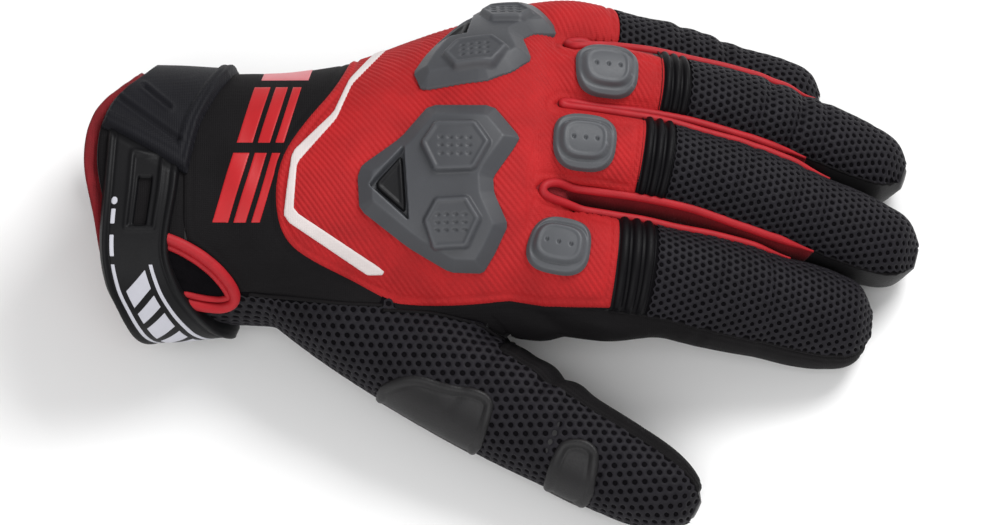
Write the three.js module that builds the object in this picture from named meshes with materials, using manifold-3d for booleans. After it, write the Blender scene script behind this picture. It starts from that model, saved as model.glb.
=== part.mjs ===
// A short motorcycle glove for the left hand, lying palm down.
// Millimetres. +X runs to the fingertips, +Y to the little finger, +Z up through the back of the hand.
// The origin is on the flat under the heel of the hand, where the glove rests.
import * as THREE from 'three';
import { mergeVertices } from 'three/addons/utils/BufferGeometryUtils.js';
import Module from 'manifold-3d';

const wasm = await Module();
wasm.setup();

// Driving dimensions
const wristLength = 66; // origin to the rim of the cuff
const palmLength = 52; // origin to the crotches between the fingers
const handBreadth = 97; // over the knuckles
const handDepth = 51; // height of the back of the hand over its heel
const thumbLength = 114;
const thumbWidth = 31;
const wall = 2; // leather or mesh with its lining
const liningWall = 1.2;
const seamGap = 0.3; // clearance between neighbouring pieces
const liningReach = 3.5; // red lining past the rim of the cuff
const cuffReach = 26; // length of the cuff from its rim
const flapThickness = 1.8;
const hemHeight = 1; // of the flap's edge over the flap
const strapThickness = 2.6;
const guardThickness = 2.4;
const guardPadHeight = 1.8;
const guardLength = 42;
const guardBreadth = 43;
const insertThickness = 1.2;
const fingerGuardLength = 16.5;
const fingerGuardBreadth = 15;
const fingerGuardThickness = 2.2;
const fingerPadHeight = 1.5;
const stripeThickness = 0.6;
const patchThickness = 1.2;
const pipingThickness = 1.8;
const ribHeight = 1.2;
const ribCount = 3;

// Fingers. root and tip places are shares: side and rise of the hand's breadth and depth.
// bend says how late the finger turns in, haste how early it drops to the table,
// and splay how far inside the hand its root starts.
const fingers = {
  index: {
    length: 110.5, width: 28, depth: 25, rootAlong: 0.58, rootSide: -0.253, splay: 0.09, rootRise: 0.7,
    tipSide: -0.33, bend: 1, haste: 1, roll: 18, tabEnd: 0.375, flexEnd: 0.45,
  },
  middle: {
    length: 121, width: 24.5, depth: 25, rootAlong: 0.615, rootSide: 0.041, splay: 0, rootRise: 0.79,
    tipSide: -0.124, bend: 2, haste: 1, roll: 0, tabEnd: 0.383, flexEnd: 0.44,
  },
  ring: {
    length: 120, width: 23.5, depth: 24, rootAlong: 0.58, rootSide: 0.258, splay: -0.03, rootRise: 0.715,
    tipSide: 0.119, bend: 3.4, haste: 1.03, roll: -20, tabEnd: 0.437, flexEnd: 0.492,
  },
  little: {
    length: 101.5, width: 21, depth: 21, rootAlong: 0.5, rootSide: 0.454, splay: -0.16, rootRise: 0.569,
    tipSide: 0.35, bend: 3, haste: 1.18, roll: -30, tabEnd: 0.44, flexEnd: 0.44,
  },
};
const fingerNames = Object.keys(fingers);
const splayEnd = 0.34; // share of the finger
const tipRise = 0.2; // centre of a fingertip, a share of the hand's depth
const thumbSeam = -0.1; // side seam of the thumb, a share of the half width
const fourchetteReach = 0.77; // end of the side walls between fingers, a share of the finger
const seamHeight = 0.1; // dorsal side seam, a share of the half depth
const frontSeam = -0.5; // palmar side seam, a share of the half depth

// Sections of the hand and cuff, from the rim to the crotches.
// at is a share of the wrist length before the origin and of the palm length after it.
// side and half are shares of the hand's breadth; rise, depth and arch of its depth.
const handSections = [
  { at: -1, side: -0.03, half: 0.365, rise: 0.53, depth: 0.462, arch: 0 },
  { at: -0.65, side: -0.028, half: 0.364, rise: 0.52, depth: 0.46, arch: 0 },
  { at: -0.42, side: -0.012, half: 0.35, rise: 0.49, depth: 0.475, arch: 0.02 },
  { at: -0.2, side: -0.005, half: 0.354, rise: 0.475, depth: 0.51, arch: 0.04 },
  { at: 0.06, side: 0, half: 0.378, rise: 0.5, depth: 0.515, arch: 0.08 },
  { at: 0.38, side: 0.015, half: 0.428, rise: 0.605, depth: 0.42, arch: 0.12 },
  { at: 0.73, side: 0.026, half: 0.464, rise: 0.705, depth: 0.355, arch: 0.157 },
  { at: 1, side: 0.041, half: 0.464, rise: 0.725, depth: 0.304, arch: 0.176 },
  { at: 1.15, side: 0.041, half: 0.435, rise: 0.71, depth: 0.2, arch: 0.17 },
];

// Along a finger: how much of the drop is left, and its girth, with a dip at each joint.
const fingerSections = [
  { at: 0, drop: 1, girth: 0.66 },
  { at: 0.16, drop: 0.98, girth: 0.96 },
  { at: 0.4, drop: 0.87, girth: 1.01 },
  { at: 0.5, drop: 0.76, girth: 0.97 },
  { at: 0.58, drop: 0.63, girth: 1 },
  { at: 0.68, drop: 0.46, girth: 0.98 },
  { at: 0.75, drop: 0.32, girth: 0.93 },
  { at: 0.83, drop: 0.18, girth: 0.93 },
  { at: 0.9, drop: 0.07, girth: 0.86 },
  { at: 0.96, drop: 0.01, girth: 0.68 },
  { at: 1, drop: 0, girth: 0.16 },
];

// Along the thumb: the half axes, shares of the thumb's width.
const thumbSections = [
  { at: 0, half: 0.39, depth: 0.45 },
  { at: 0.12, half: 0.48, depth: 0.5 },
  { at: 0.325, half: 0.5, depth: 0.5 },
  { at: 0.58, half: 0.45, depth: 0.435 },
  { at: 0.7, half: 0.41, depth: 0.405 },
  { at: 0.82, half: 0.38, depth: 0.385 },
  { at: 0.91, half: 0.33, depth: 0.35 },
  { at: 0.97, half: 0.22, depth: 0.26 },
  { at: 1, half: 0.06, depth: 0.08 },
];
const thumbRoot = { side: -0.155, rise: 0.47 };
const thumbTip = { side: -0.88, rise: 0.2 };
const thumbRootAlong = -0.3;
const thumbBow = -0.036;
const thumbRoll = 24;

// The rim of the lining: how far it lies back from the end of the wrist, a share of the wrist's
// length, at shares of the hand's breadth up the plane that the back is seen in.
const rimRows = [
  { up: 0.55, back: 0.4 }, { up: 0.44, back: 0.19 }, { up: 0.35, back: 0.045 },
  { up: 0.22, back: 0 }, { up: 0.06, back: 0.04 }, { up: -0.12, back: 0.1 },
  { up: -0.3, back: 0.3 },
];

// Colours and finishes
const finishes = {
  mesh: { color: 0x17171a, roughness: 0.85 },
  neoprene: { color: 0x141416, roughness: 0.7 },
  leather: { color: 0x1a1a1c, roughness: 0.6 },
  red: { color: 0xc01a20, roughness: 0.65 },
  guard: { color: 0x4a4b4e, roughness: 0.45 },
  insert: { color: 0x202022, roughness: 0.5 },
  strap: { color: 0x101012, roughness: 0.45 },
  stripe: { color: 0xe9e4e0, roughness: 0.4 },
};

// Solids and meshes

// A closed triangle mesh becomes a solid that can be joined and cut.
function solidOf(geometry) {
  const bare = geometry.index ? geometry.clone() : geometry;
  bare.deleteAttribute('normal');
  bare.deleteAttribute('uv');
  const merged = mergeVertices(bare, 1e-4);
  const solid = new wasm.Manifold(new wasm.Mesh({
    numProp: 3,
    vertProperties: new Float32Array(merged.attributes.position.array),
    triVerts: new Uint32Array(merged.index.array),
  }));
  return solid;
}

// The largest closed body among a mesh's separate bodies; crumbs of a cut are dropped.
function largestBody(vertices, triangles) {
  const parent = Array.from({ length: vertices.length / 3 }, (_, i) => i);
  const find = (i) => {
    let root = i;
    while (parent[root] !== root) root = parent[root];
    while (parent[i] !== root) [parent[i], i] = [root, parent[i]];
    return root;
  };
  for (let t = 0; t < triangles.length; t += 3) {
    parent[find(triangles[t])] = find(triangles[t + 1]);
    parent[find(triangles[t + 1])] = find(triangles[t + 2]);
  }
  const volumes = new Map();
  const corner = (i) => new THREE.Vector3().fromArray(vertices, 3 * triangles[i]);
  for (let t = 0; t < triangles.length; t += 3) {
    const body = find(triangles[t]);
    const slice = corner(t).dot(corner(t + 1).cross(corner(t + 2))) / 6;
    volumes.set(body, (volumes.get(body) ?? 0) + slice);
  }
  const largest = [...volumes].sort((a, b) => b[1] - a[1])[0][0];
  const kept = [];
  for (let t = 0; t < triangles.length; t += 3) {
    if (find(triangles[t]) === largest) kept.push(triangles[t], triangles[t + 1], triangles[t + 2]);
  }
  return kept;
}

// Corners of a cut that lie closer than this are one corner.
const weldDistance = 0.15;

// Joins the ends of very short edges, and drops the triangles that fold flat with them.
function welded(vertices, triangles) {
  const target = Array.from({ length: vertices.length / 3 }, (_, i) => i);
  const end = (i) => {
    while (target[i] !== i) i = target[i];
    return i;
  };
  const point = (i) => new THREE.Vector3().fromArray(vertices, 3 * i);
  for (let t = 0; t < triangles.length; t += 3) {
    for (let e = 0; e < 3; e += 1) {
      const a = end(triangles[t + e]);
      const b = end(triangles[t + ((e + 1) % 3)]);
      if (a !== b && point(a).distanceTo(point(b)) < weldDistance) target[Math.max(a, b)] = Math.min(a, b);
    }
  }
  const faces = new Map();
  for (let t = 0; t < triangles.length; t += 3) {
    const face = [0, 1, 2].map((e) => end(triangles[t + e]));
    if (new Set(face).size < 3) continue;
    const key = [...face].sort((a, b) => a - b).join();
    if (faces.has(key)) faces.delete(key);
    else faces.set(key, face);
  }
  return [...faces.values()].flat();
}

function geometryOf(solid) {
  const mesh = solid.getMesh();
  const geometry = new THREE.BufferGeometry();
  geometry.setAttribute('position', new THREE.BufferAttribute(new Float32Array(mesh.vertProperties), 3));
  geometry.setIndex(largestBody(mesh.vertProperties, welded(mesh.vertProperties, mesh.triVerts)));
  return geometry;
}

const glove = new THREE.Group();

function addPiece(name, solid, finish) {
  const material = new THREE.MeshStandardMaterial({ metalness: 0, ...finishes[finish] });
  const piece = new THREE.Mesh(geometryOf(solid), material);
  piece.name = name;
  glove.add(piece);
}

// A closed solid through rings of points, each ring with as many points as the next.
function loft(rings) {
  const count = rings[0].length;
  const points = rings.flat();
  const faces = [];
  for (let r = 0; r < rings.length - 1; r += 1) {
    for (let i = 0; i < count; i += 1) {
      const next = (i + 1) % count;
      const a = r * count + i;
      const b = r * count + next;
      faces.push([a, b, b + count], [a, b + count, a + count]);
    }
  }
  for (let i = 1; i < count - 1; i += 1) {
    faces.push([0, i + 1, i]);
    const last = (rings.length - 1) * count;
    faces.push([last, last + i, last + i + 1]);
  }
  const volume = faces.reduce((sum, [a, b, c]) => (
    sum + points[a].dot(new THREE.Vector3().crossVectors(points[b], points[c]))), 0);
  const index = faces.flatMap(([a, b, c]) => (volume > 0 ? [a, b, c] : [a, c, b]));
  const geometry = new THREE.BufferGeometry();
  const values = new Float32Array(points.flatMap((p) => [p.x, p.y, p.z]));
  geometry.setAttribute('position', new THREE.BufferAttribute(values, 3));
  geometry.setIndex(index);
  return solidOf(geometry);
}

function boxBetween(low, high) {
  const size = new THREE.Vector3().subVectors(high, low);
  const geometry = new THREE.BoxGeometry(size.x, size.y, size.z);
  geometry.translate((low.x + high.x) / 2, (low.y + high.y) / 2, (low.z + high.z) / 2);
  return solidOf(geometry);
}

const far = 400;
const join = (solids) => solids.reduce((sum, solid) => sum.add(solid));

// Reading the tables

// A smooth curve through one column of a table.
function read(table, column, at) {
  let row = table.findIndex((entry) => entry.at > at) - 1;
  if (row < 0) row = at < table[0].at ? 0 : table.length - 2;
  const value = (i) => table[THREE.MathUtils.clamp(i, 0, table.length - 1)][column];
  const place = (i) => table[THREE.MathUtils.clamp(i, 0, table.length - 1)].at;
  const slope = (i) => (value(i + 1) - value(i - 1)) / (place(i + 1) - place(i - 1) || 1);
  const span = place(row + 1) - place(row);
  const t = THREE.MathUtils.clamp((at - place(row)) / span, 0, 1);
  const rise = value(row + 1) - value(row);
  const early = slope(row) * span;
  const late = slope(row + 1) * span;
  return value(row) + t * early + t * t * (3 * rise - 2 * early - late) + t ** 3 * (early + late - 2 * rise);
}

const along = (share) => share * (share < 0 ? wristLength : palmLength);
const shareAlong = (x) => x / (x < 0 ? wristLength : palmLength);

// Frames: a centre, a direction to the side, a normal, and the half axes of the section.

function handFrame(at) {
  const get = (column) => read(handSections, column, at);
  return {
    centre: new THREE.Vector3(along(at), get('side') * handBreadth, get('rise') * handDepth),
    side: new THREE.Vector3(0, 1, 0),
    normal: new THREE.Vector3(0, 0, 1),
    half: get('half') * handBreadth,
    depth: get('depth') * handDepth,
    arch: get('arch') * handDepth,
  };
}

// A frame on a curve: its section stands square to the curve, rolled about it.
const tangentStep = 0.03; // share of the curve to each side that gives its direction
function frameOn(curve, at, roll) {
  const ahead = curve(Math.min(at + tangentStep, 1));
  const tangent = ahead.sub(curve(Math.max(at - tangentStep, 0))).normalize();
  const side = new THREE.Vector3(0, 0, 1).cross(tangent).normalize();
  const normal = new THREE.Vector3().crossVectors(tangent, side);
  const turn = THREE.MathUtils.degToRad(roll);
  side.applyAxisAngle(tangent, turn);
  normal.applyAxisAngle(tangent, turn);
  return { centre: curve(at), side, normal, arch: 0 };
}

function fingerFrame(name, at, roll = fingers[name].roll) {
  const finger = fingers[name];
  const curve = (s) => {
    const drop = read(fingerSections, 'drop', Math.min(s * finger.haste, 1));
    const rise = tipRise + (finger.rootRise - tipRise) * drop;
    const inside = finger.splay * Math.max(0, 1 - s / splayEnd) ** 2;
    const side = finger.rootSide + inside + (finger.tipSide - finger.rootSide) * s ** finger.bend;
    return new THREE.Vector3(along(finger.rootAlong) + s * finger.length, side * handBreadth, rise * handDepth);
  };
  const girth = read(fingerSections, 'girth', at) / 2;
  return { ...frameOn(curve, at, roll), half: finger.width * girth, depth: finger.depth * girth };
}

function thumbFrame(at) {
  const curve = (s) => {
    const mix = (column) => thumbRoot[column] + (thumbTip[column] - thumbRoot[column]) * s;
    const side = mix('side') + thumbBow * 4 * s * (1 - s);
    return new THREE.Vector3(along(thumbRootAlong) + s * thumbLength, side * handBreadth, mix('rise') * handDepth);
  };
  return {
    ...frameOn(curve, at, thumbRoll),
    half: read(thumbSections, 'half', at) * thumbWidth,
    depth: read(thumbSections, 'depth', at) * thumbWidth,
  };
}

// A point of a frame's rounded section. turn 0 is its side, 90 degrees its back.
const sectionPower = 2 / 2.15;
const smallestHalf = 0.3; // millimetres
function sectionPoint(frame, turn, grow) {
  const bulge = (value) => Math.sign(value) * Math.abs(value) ** sectionPower;
  const across = bulge(Math.cos(turn));
  const up = bulge(Math.sin(turn)) * Math.max(frame.depth + grow, smallestHalf) - frame.arch * across * across;
  return frame.centre.clone()
    .addScaledVector(frame.side, across * Math.max(frame.half + grow, smallestHalf))
    .addScaledVector(frame.normal, up);
}

function tube(frames, grow, sides) {
  return loft(frames.map((frame) => Array.from({ length: sides }, (_, i) => (
    sectionPoint(frame, (2 * Math.PI * i) / sides, grow)))));
}

// A loft of flat-sided sections between shares of a tube's half axes.
function slab(frames, low, high, grow) {
  const corners = [[0, 0], [1, 0], [1, 1], [0, 1]];
  return loft(frames.map((frame) => corners.map(([i, j]) => {
    const across = (i ? high.across : low.across) * frame.half + (i ? grow : -grow);
    const up = (j ? high.up : low.up) * frame.depth + (j ? grow : -grow);
    return frame.centre.clone().addScaledVector(frame.side, across).addScaledVector(frame.normal, up);
  })));
}

// Every third row's place between two ends, with both ends: enough for a cutting region.
function sharesBetween(table, from, to) {
  const places = table.map((row) => row.at).filter((at, i) => i % 3 === 0);
  return [from, ...places.filter((at) => at > from + 0.03 && at < to - 0.03), to];
}

// The rows' places, or every other one, always with both ends
function everyRow(table, step) {
  return table.map((row) => row.at).filter((at, i) => i % step === 0 || i === table.length - 1);
}

// Outer form of the glove, grown outwards by some millimetres
const outerSides = { hand: 20, finger: 10, step: 1 };
const innerSides = { hand: 12, finger: 6, step: 2 };
const endShift = 1.3; // how far the end of a tube moves for each millimetre that it grows

function form(grow, sides, floor, rimReach) {
  const handFrames = handSections.map((row) => handFrame(row.at));
  handFrames[0].centre.x -= rimReach;
  handFrames.at(-1).centre.x += endShift * grow;
  const end = Math.min(0, grow);
  const parts = [tube(handFrames, grow, sides.hand)];
  for (const name of fingerNames) {
    const reach = 1 + (endShift * end) / fingers[name].length;
    const frames = everyRow(fingerSections, sides.step).map((at) => fingerFrame(name, at * reach));
    parts.push(tube(frames, grow, sides.finger));
  }
  const thumbReach = 1 + (endShift * end) / thumbLength;
  const thumbFrames = everyRow(thumbSections, sides.step).map((at) => thumbFrame(at * thumbReach));
  parts.push(tube(thumbFrames, grow, sides.finger));
  const above = boxBetween(new THREE.Vector3(-far, -far, floor), new THREE.Vector3(far, far, far));
  return join(parts).intersect(above);
}

const outer = form(0, outerSides, 0, 0);
const hollow = form(-wall, innerSides, wall, 2 * wall);
const shell = outer.subtract(hollow);

// Regions of the shell, each a solid that may be grown by the seam's clearance

// Corners of an outline in a draft plane: along the hand, and up the plane, as shares.
// tilt leans the plane's face from straight up towards the thumb, in degrees.
function prism(outline, tilt, grow, from = -far, to = far) {
  const lean = THREE.MathUtils.degToRad(tilt);
  const up = new THREE.Vector3(0, Math.cos(lean), Math.sin(lean));
  const out = new THREE.Vector3(0, -Math.sin(lean), Math.cos(lean));
  const flat = outline.map(([a, b]) => new THREE.Vector2(along(a), b * handBreadth));
  const turnsLeft = THREE.ShapeUtils.area(flat) > 0;
  if (!turnsLeft) flat.reverse();
  const grown = flat.map((corner, i) => {
    const before = flat[(i + flat.length - 1) % flat.length];
    const after = flat[(i + 1) % flat.length];
    const one = new THREE.Vector2().subVectors(corner, before).normalize();
    const two = new THREE.Vector2().subVectors(after, corner).normalize();
    const spread = new THREE.Vector2(one.y + two.y, -one.x - two.x);
    return corner.clone().addScaledVector(spread, grow / Math.max(0.4, 1 + one.dot(two)));
  });
  const shape = new THREE.Shape(grown);
  const geometry = new THREE.ExtrudeGeometry(shape, { depth: to - from, bevelEnabled: false, steps: 1 });
  const place = new THREE.Matrix4().makeBasis(new THREE.Vector3(1, 0, 0), up, out);
  geometry.translate(0, 0, from).applyMatrix4(place);
  return solidOf(geometry);
}

function fingerSlab(name, from, to, low, high, grow) {
  const frames = sharesBetween(fingerSections, from, to).map((at) => fingerFrame(name, at));
  frames[0].centre.addScaledVector(tangentOf(frames[0]), -grow);
  frames.at(-1).centre.addScaledVector(tangentOf(frames.at(-1)), grow);
  return slab(frames, low, high, grow);
}

const tangentOf = (frame) => new THREE.Vector3().crossVectors(frame.side, frame.normal);

// The whole of one finger's or the thumb's tube, a hair larger than the shell there
const hair = 0.05;
function fingerCell(name, from, grow) {
  const places = fingerSections.map((row) => row.at).filter((at) => at > from + 0.01);
  const frames = [from, ...places].map((at) => fingerFrame(name, at));
  frames[0].centre.addScaledVector(tangentOf(frames[0]), -grow);
  frames.at(-1).centre.addScaledVector(tangentOf(frames.at(-1)), 1);
  return tube(frames, hair + grow, outerSides.finger);
}
function thumbSlab(from, low, high, grow) {
  const places = thumbSections.map((row) => row.at).filter((at) => at > from + 0.01);
  const frames = [from, ...places].map(thumbFrame);
  frames[0].centre.addScaledVector(tangentOf(frames[0]), -grow);
  frames.at(-1).centre.addScaledVector(tangentOf(frames.at(-1)), 1);
  const flat = [from, 0.5, 0.8, 1].map(thumbFrame);
  flat[0].centre.addScaledVector(tangentOf(flat[0]), -grow);
  flat.at(-1).centre.addScaledVector(tangentOf(flat.at(-1)), 1);
  for (const frame of flat) {
    frame.half = thumbWidth / 2;
    frame.depth = thumbWidth / 2;
  }
  return tube(frames, hair + grow, outerSides.finger).intersect(slab(flat, low, high, grow));
}

// Everything before the curved rim, which is moved some millimetres into the glove
function rimCut(shift) {
  const rim = rimRows.map(({ up, back }) => [back - 1 + shift / wristLength, up]);
  return prism([...rim, [-3, rimRows.at(-1).up], [-3, rimRows[0].up]], backTilt, 0);
}

// Everything above the seam along the sides of the hand
const handSeam = -0.05;
const pastEnds = 20;
function upperHand(grow) {
  const frames = sharesBetween(handSections, -1, 1.15).map(handFrame);
  frames[0].centre.x -= pastEnds;
  frames.at(-1).centre.x += pastEnds;
  return slab(frames, { across: -3, up: handSeam }, { across: 3, up: 4 }, grow);
}

function beforeX(x, grow) {
  return boxBetween(new THREE.Vector3(-far, -far, -far), new THREE.Vector3(x + grow, far, far));
}

// Outlines of the panels of the back, in a plane tilted as the back is mostly seen
const backTilt = 27;
const backPanelOutline = [
  [0.06, 0.64], [0.081, 0.5], [-0.004, 0.405], [-0.124, 0.312], [-0.211, 0.228], [-0.243, 0.143],
  [-0.239, 0.052], [-0.203, -0.013], [-0.124, -0.058], [0.061, -0.117], [0.213, -0.164],
  [0.314, -0.186], [0.607, -0.189], [0.774, -0.175], [1.25, -0.185], [1.25, 0.64],
];
const wristGussetOutline = [
  [-0.70, 0.02], [-0.662, 0.002], [-0.538, -0.026], [-0.411, -0.116], [-0.375, -0.154],
  [-0.391, -0.181], [-0.466, -0.194], [-0.59, -0.186], [-0.70, -0.17],
];
const wristPanelOutline = [
  [-0.606, 0.64], [0.3, 0.64], [0.3, -0.19], [0.01, -0.181], [-0.19, -0.165], [-0.36, -0.152],
  [-0.606, -0.15],
];
const cuffEnd = cuffReach - wristLength;
const thumbStart = 0.36;

const backLow = { across: -1.25, up: seamHeight };
const backHigh = { across: 1.25, up: 2 };

function fourchette(first, second, grow) {
  const wallOf = (name, side) => fingerSlab(
    name, 0.1, fourchetteReach,
    { across: side > 0 ? 0.55 : -1.12, up: frontSeam },
    { across: side > 0 ? 1.12 : -0.55, up: seamHeight }, grow,
  );
  return wallOf(first, 1).add(wallOf(second, -1));
}

// Cutting plan: earlier regions win, and later ones keep the seam's clearance from them.
const plan = [];
const addRegion = (name, finish, region, extra) => plan.push({ name, finish, region, extra });

addRegion('cuff', 'neoprene', (grow) => beforeX(cuffEnd, grow));
const neighbours = [['index', 'middle'], ['middle', 'ring'], ['ring', 'little']];
for (const [first, second] of neighbours) {
  addRegion(`fourchette_${first}_${second}`, 'red', (grow) => fourchette(first, second, grow));
}
for (const name of fingerNames) {
  const { tabEnd, flexEnd } = fingers[name];
  if (flexEnd > tabEnd) {
    addRegion(`flex_panel_${name}`, 'neoprene', (grow) => (
      fingerSlab(name, tabEnd, flexEnd, backLow, backHigh, grow)), (region) => flexRibs(name, region));
  }
  addRegion(`finger_back_${name}`, 'mesh', (grow) => (
    fingerCell(name, flexEnd, grow).intersect(fingerSlab(name, flexEnd, 1, backLow, backHigh, grow + 0.2))));
}
addRegion('index_side', 'neoprene', (grow) => (
  fingerSlab('index', 0.2, 1, { across: -1.3, up: frontSeam }, { across: -0.6, up: seamHeight + 0.25 }, grow)));
for (const name of fingerNames) {
  addRegion(`finger_front_${name}`, 'leather', (grow) => fingerCell(name, 0.3, grow).intersect(
    fingerSlab(name, 0.3, 1, { across: -1.4, up: -2 }, { across: 1.4, up: seamHeight }, grow + 0.2)));
}
addRegion('back_panel', 'red', (grow) => fingerNames.reduce(
  (sum, name) => sum.add(fingerSlab(name, 0.2, fingers[name].tabEnd, backLow, backHigh, grow)),
  upperHand(grow).intersect(prism(backPanelOutline, backTilt, grow))));
addRegion('thumb_side', 'neoprene', (grow) => (
  thumbSlab(0.42, { across: 0.45, up: -0.35 }, { across: 1.5, up: 1.5 }, grow)));
addRegion('thumb_back', 'mesh', (grow) => (
  thumbSlab(thumbStart, { across: -1.5, up: thumbSeam }, { across: 1.5, up: 1.6 }, grow)));
addRegion('thumb_front', 'leather', (grow) => (
  thumbSlab(thumbStart, { across: -1.5, up: -1.6 }, { across: 1.5, up: thumbSeam }, grow)));
addRegion('wrist_gusset', 'neoprene', (grow) => (
  upperHand(grow).intersect(prism(wristGussetOutline, backTilt, grow))));
addRegion('wrist_panel', 'neoprene', (grow) => (
  upperHand(grow).intersect(prism(wristPanelOutline, backTilt, grow))));
addRegion('side_panel', 'mesh', (grow) => (
  upperHand(grow).add(thumbSlab(0, { across: -1.5, up: thumbSeam }, { across: 1.5, up: 1.6 }, grow))));
addRegion('palm', 'leather', () => beforeX(far, 0));

// A layer over the glove, between two heights above its skin
const forms = new Map([[0, outer]]);
function formAt(height) {
  if (!forms.has(height)) forms.set(height, form(height, outerSides, 0, 0));
  return forms.get(height);
}
const layer = (region, from, to) => region.intersect(formAt(to)).subtract(formAt(from));

// A region round the wrist, from the side of the little finger (0) over the back (90) and on.
// Its rows hold a turn in degrees and the left and right edges as shares of the wrist length.
const bandFloor = -10; // millimetres from the skin
const bandTop = 12;
function bandRegion(rows) {
  return loft(rows.map(({ turn, left, right }) => {
    const angle = THREE.MathUtils.degToRad(turn);
    const edge = (at, grow) => sectionPoint(handFrame(at), angle, grow);
    return [edge(left, bandFloor), edge(right, bandFloor), edge(right, bandTop), edge(left, bandTop)];
  }));
}

// Pieces laid on the skin start this high above it, and a raised part goes this deep into its base.
const skin = seamGap;
const root = 0.5;

// Raised ribs across a flex panel, rooted in its wall
function flexRibs(name, panel) {
  const { tabEnd, flexEnd } = fingers[name];
  const pitch = (flexEnd - tabEnd) / ribCount;
  const ribs = Array.from({ length: ribCount }, (_, i) => (
    fingerSlab(name, tabEnd + (i + 0.2) * pitch, tabEnd + (i + 0.8) * pitch,
      { across: -0.85, up: seamHeight + 0.1 }, { across: 0.85, up: 2 }, 0)));
  return panel.add(layer(join(ribs), -wall / 2, ribHeight));
}

glove.name = 'glove';
let rest = shell.subtract(rimCut(liningReach));
for (const { name, finish, region, extra } of plan) {
  const panel = rest.intersect(region(0));
  addPiece(name, extra ? extra(panel) : panel, finish);
  rest = rest.subtract(region(seamGap));
}

// Lining: a thin tube inside the cuff that looks out at its rim
const liningEnd = shareAlong(cuffEnd);
const pastRim = 5; // millimetres that the cut through the lining goes past its ends
const liningRows = handSections.map((row) => row.at).filter((at) => at < liningEnd);
const liningFrames = [...liningRows, liningEnd].map(handFrame);
const liningOuter = tube(liningFrames, -wall - seamGap, innerSides.hand);
const openEnds = liningFrames.map((frame, i) => {
  const shift = i === 0 ? -pastRim : i === liningFrames.length - 1 ? pastRim : 0;
  return { ...frame, centre: frame.centre.clone().setX(frame.centre.x + shift) };
});
const liningInner = tube(openEnds, -wall - seamGap - liningWall, innerSides.hand);
addPiece('cuff_lining', liningOuter.subtract(liningInner).subtract(rimCut(0)), 'red');

// Cuff flap with its raised hem
const flapRows = [
  { turn: -12, left: -0.94, right: -0.45 }, { turn: 15, left: -0.94, right: -0.4 },
  { turn: 40, left: -0.94, right: -0.43 }, { turn: 60, left: -0.94, right: -0.5 },
  { turn: 76, left: -0.94, right: -0.56 }, { turn: 97, left: -0.66, right: -0.61 },
];
const hemWidth = 0.065; // share of the wrist length
const flapTop = skin + flapThickness;
const hemRows = flapRows.map((row) => ({ ...row, left: Math.max(row.left, row.right - hemWidth) }));
addPiece('cuff_flap', layer(bandRegion(flapRows), skin, flapTop)
  .add(layer(bandRegion(hemRows), flapTop - root, flapTop + hemHeight))
  .subtract(rimCut(liningReach)), 'neoprene');

// Strap over the side of the wrist, its end under the palm, clear of the flap and the piping
const overlapMargin = { turn: 1, right: 0.01 };
const pipingMargin = { turn: 0, right: 0.02 };
const widened = (rows, margin) => rows.map((row) => ({
  ...row, turn: row.turn + margin.turn, right: row.right + margin.right,
}));
const strapRows = [
  { turn: 101, left: -0.925, right: -0.625 }, { turn: 130, left: -0.947, right: -0.66 },
  { turn: 150, left: -0.925, right: -0.62 }, { turn: 165, left: -0.885, right: -0.565 },
  { turn: 182, left: -0.84, right: -0.49 }, { turn: 202, left: -0.76, right: -0.4 },
  { turn: 225, left: -0.67, right: -0.4 }, { turn: 245, left: -0.6, right: -0.45 },
];
addPiece('strap', layer(bandRegion(strapRows), skin, skin + strapThickness)
  .subtract(bandRegion(widened(flapRows, overlapMargin))),
'strap');

// Red piping round the notch of the wrist
const pipingWidth = 1.9;
const pipingStart = -0.64; // share of the wrist length, beside the strap
const notchRing = prism(wristGussetOutline, backTilt, pipingWidth, 8)
  .subtract(prism(wristGussetOutline, backTilt, 0))
  .subtract(beforeX(along(pipingStart), 0))
  .subtract(bandRegion(widened(strapRows, pipingMargin)));
addPiece('notch_piping', layer(notchRing, skin, skin + pipingThickness), 'red');

// Reflective stripe along the edge of the back panel
const stripeOutline = [
  [0.255, 0.53], [0.061, 0.418], [-0.012, 0.328], [-0.175, 0.223], [-0.207, 0.047], [0.2125, -0.121],
  [0.243, -0.091], [-0.167, 0.068], [-0.155, 0.194], [0, 0.312], [0.075, 0.405], [0.27, 0.515],
];
addPiece('reflective_stripe',
  layer(prism(stripeOutline, backTilt, 0, 10), skin, skin + stripeThickness), 'stripe');

// Knuckle guards: a lobed plate with two raised pads and an insert between the lobes.
// Shares of the guard's length and breadth from its middle.
const guardOutline = [
  [-0.038, 0.494], [0.345, 0.494], [0.514, 0.298], [0.476, 0.234], [0.351, 0.063], [0.357, -0.032],
  [0.439, -0.222], [0.363, -0.386], [0.288, -0.506], [0.094, -0.5], [-0.175, -0.348],
  [-0.476, -0.127], [-0.489, 0.063], [-0.464, 0.133], [-0.219, 0.298],
];
const insertOutline = [[-0.407, 0.01], [-0.2, 0.222], [-0.172, -0.18]];
const guardPads = [
  { middle: [0.119, 0.285], half: [0.216, 0.158] },
  { middle: [0.094, -0.196], half: [0.186, 0.168] },
];
const hexagon = [[-1, 0.1], [-0.55, 0.95], [0.55, 1], [1, 0.15], [0.55, -0.95], [-0.6, -1]];

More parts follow.
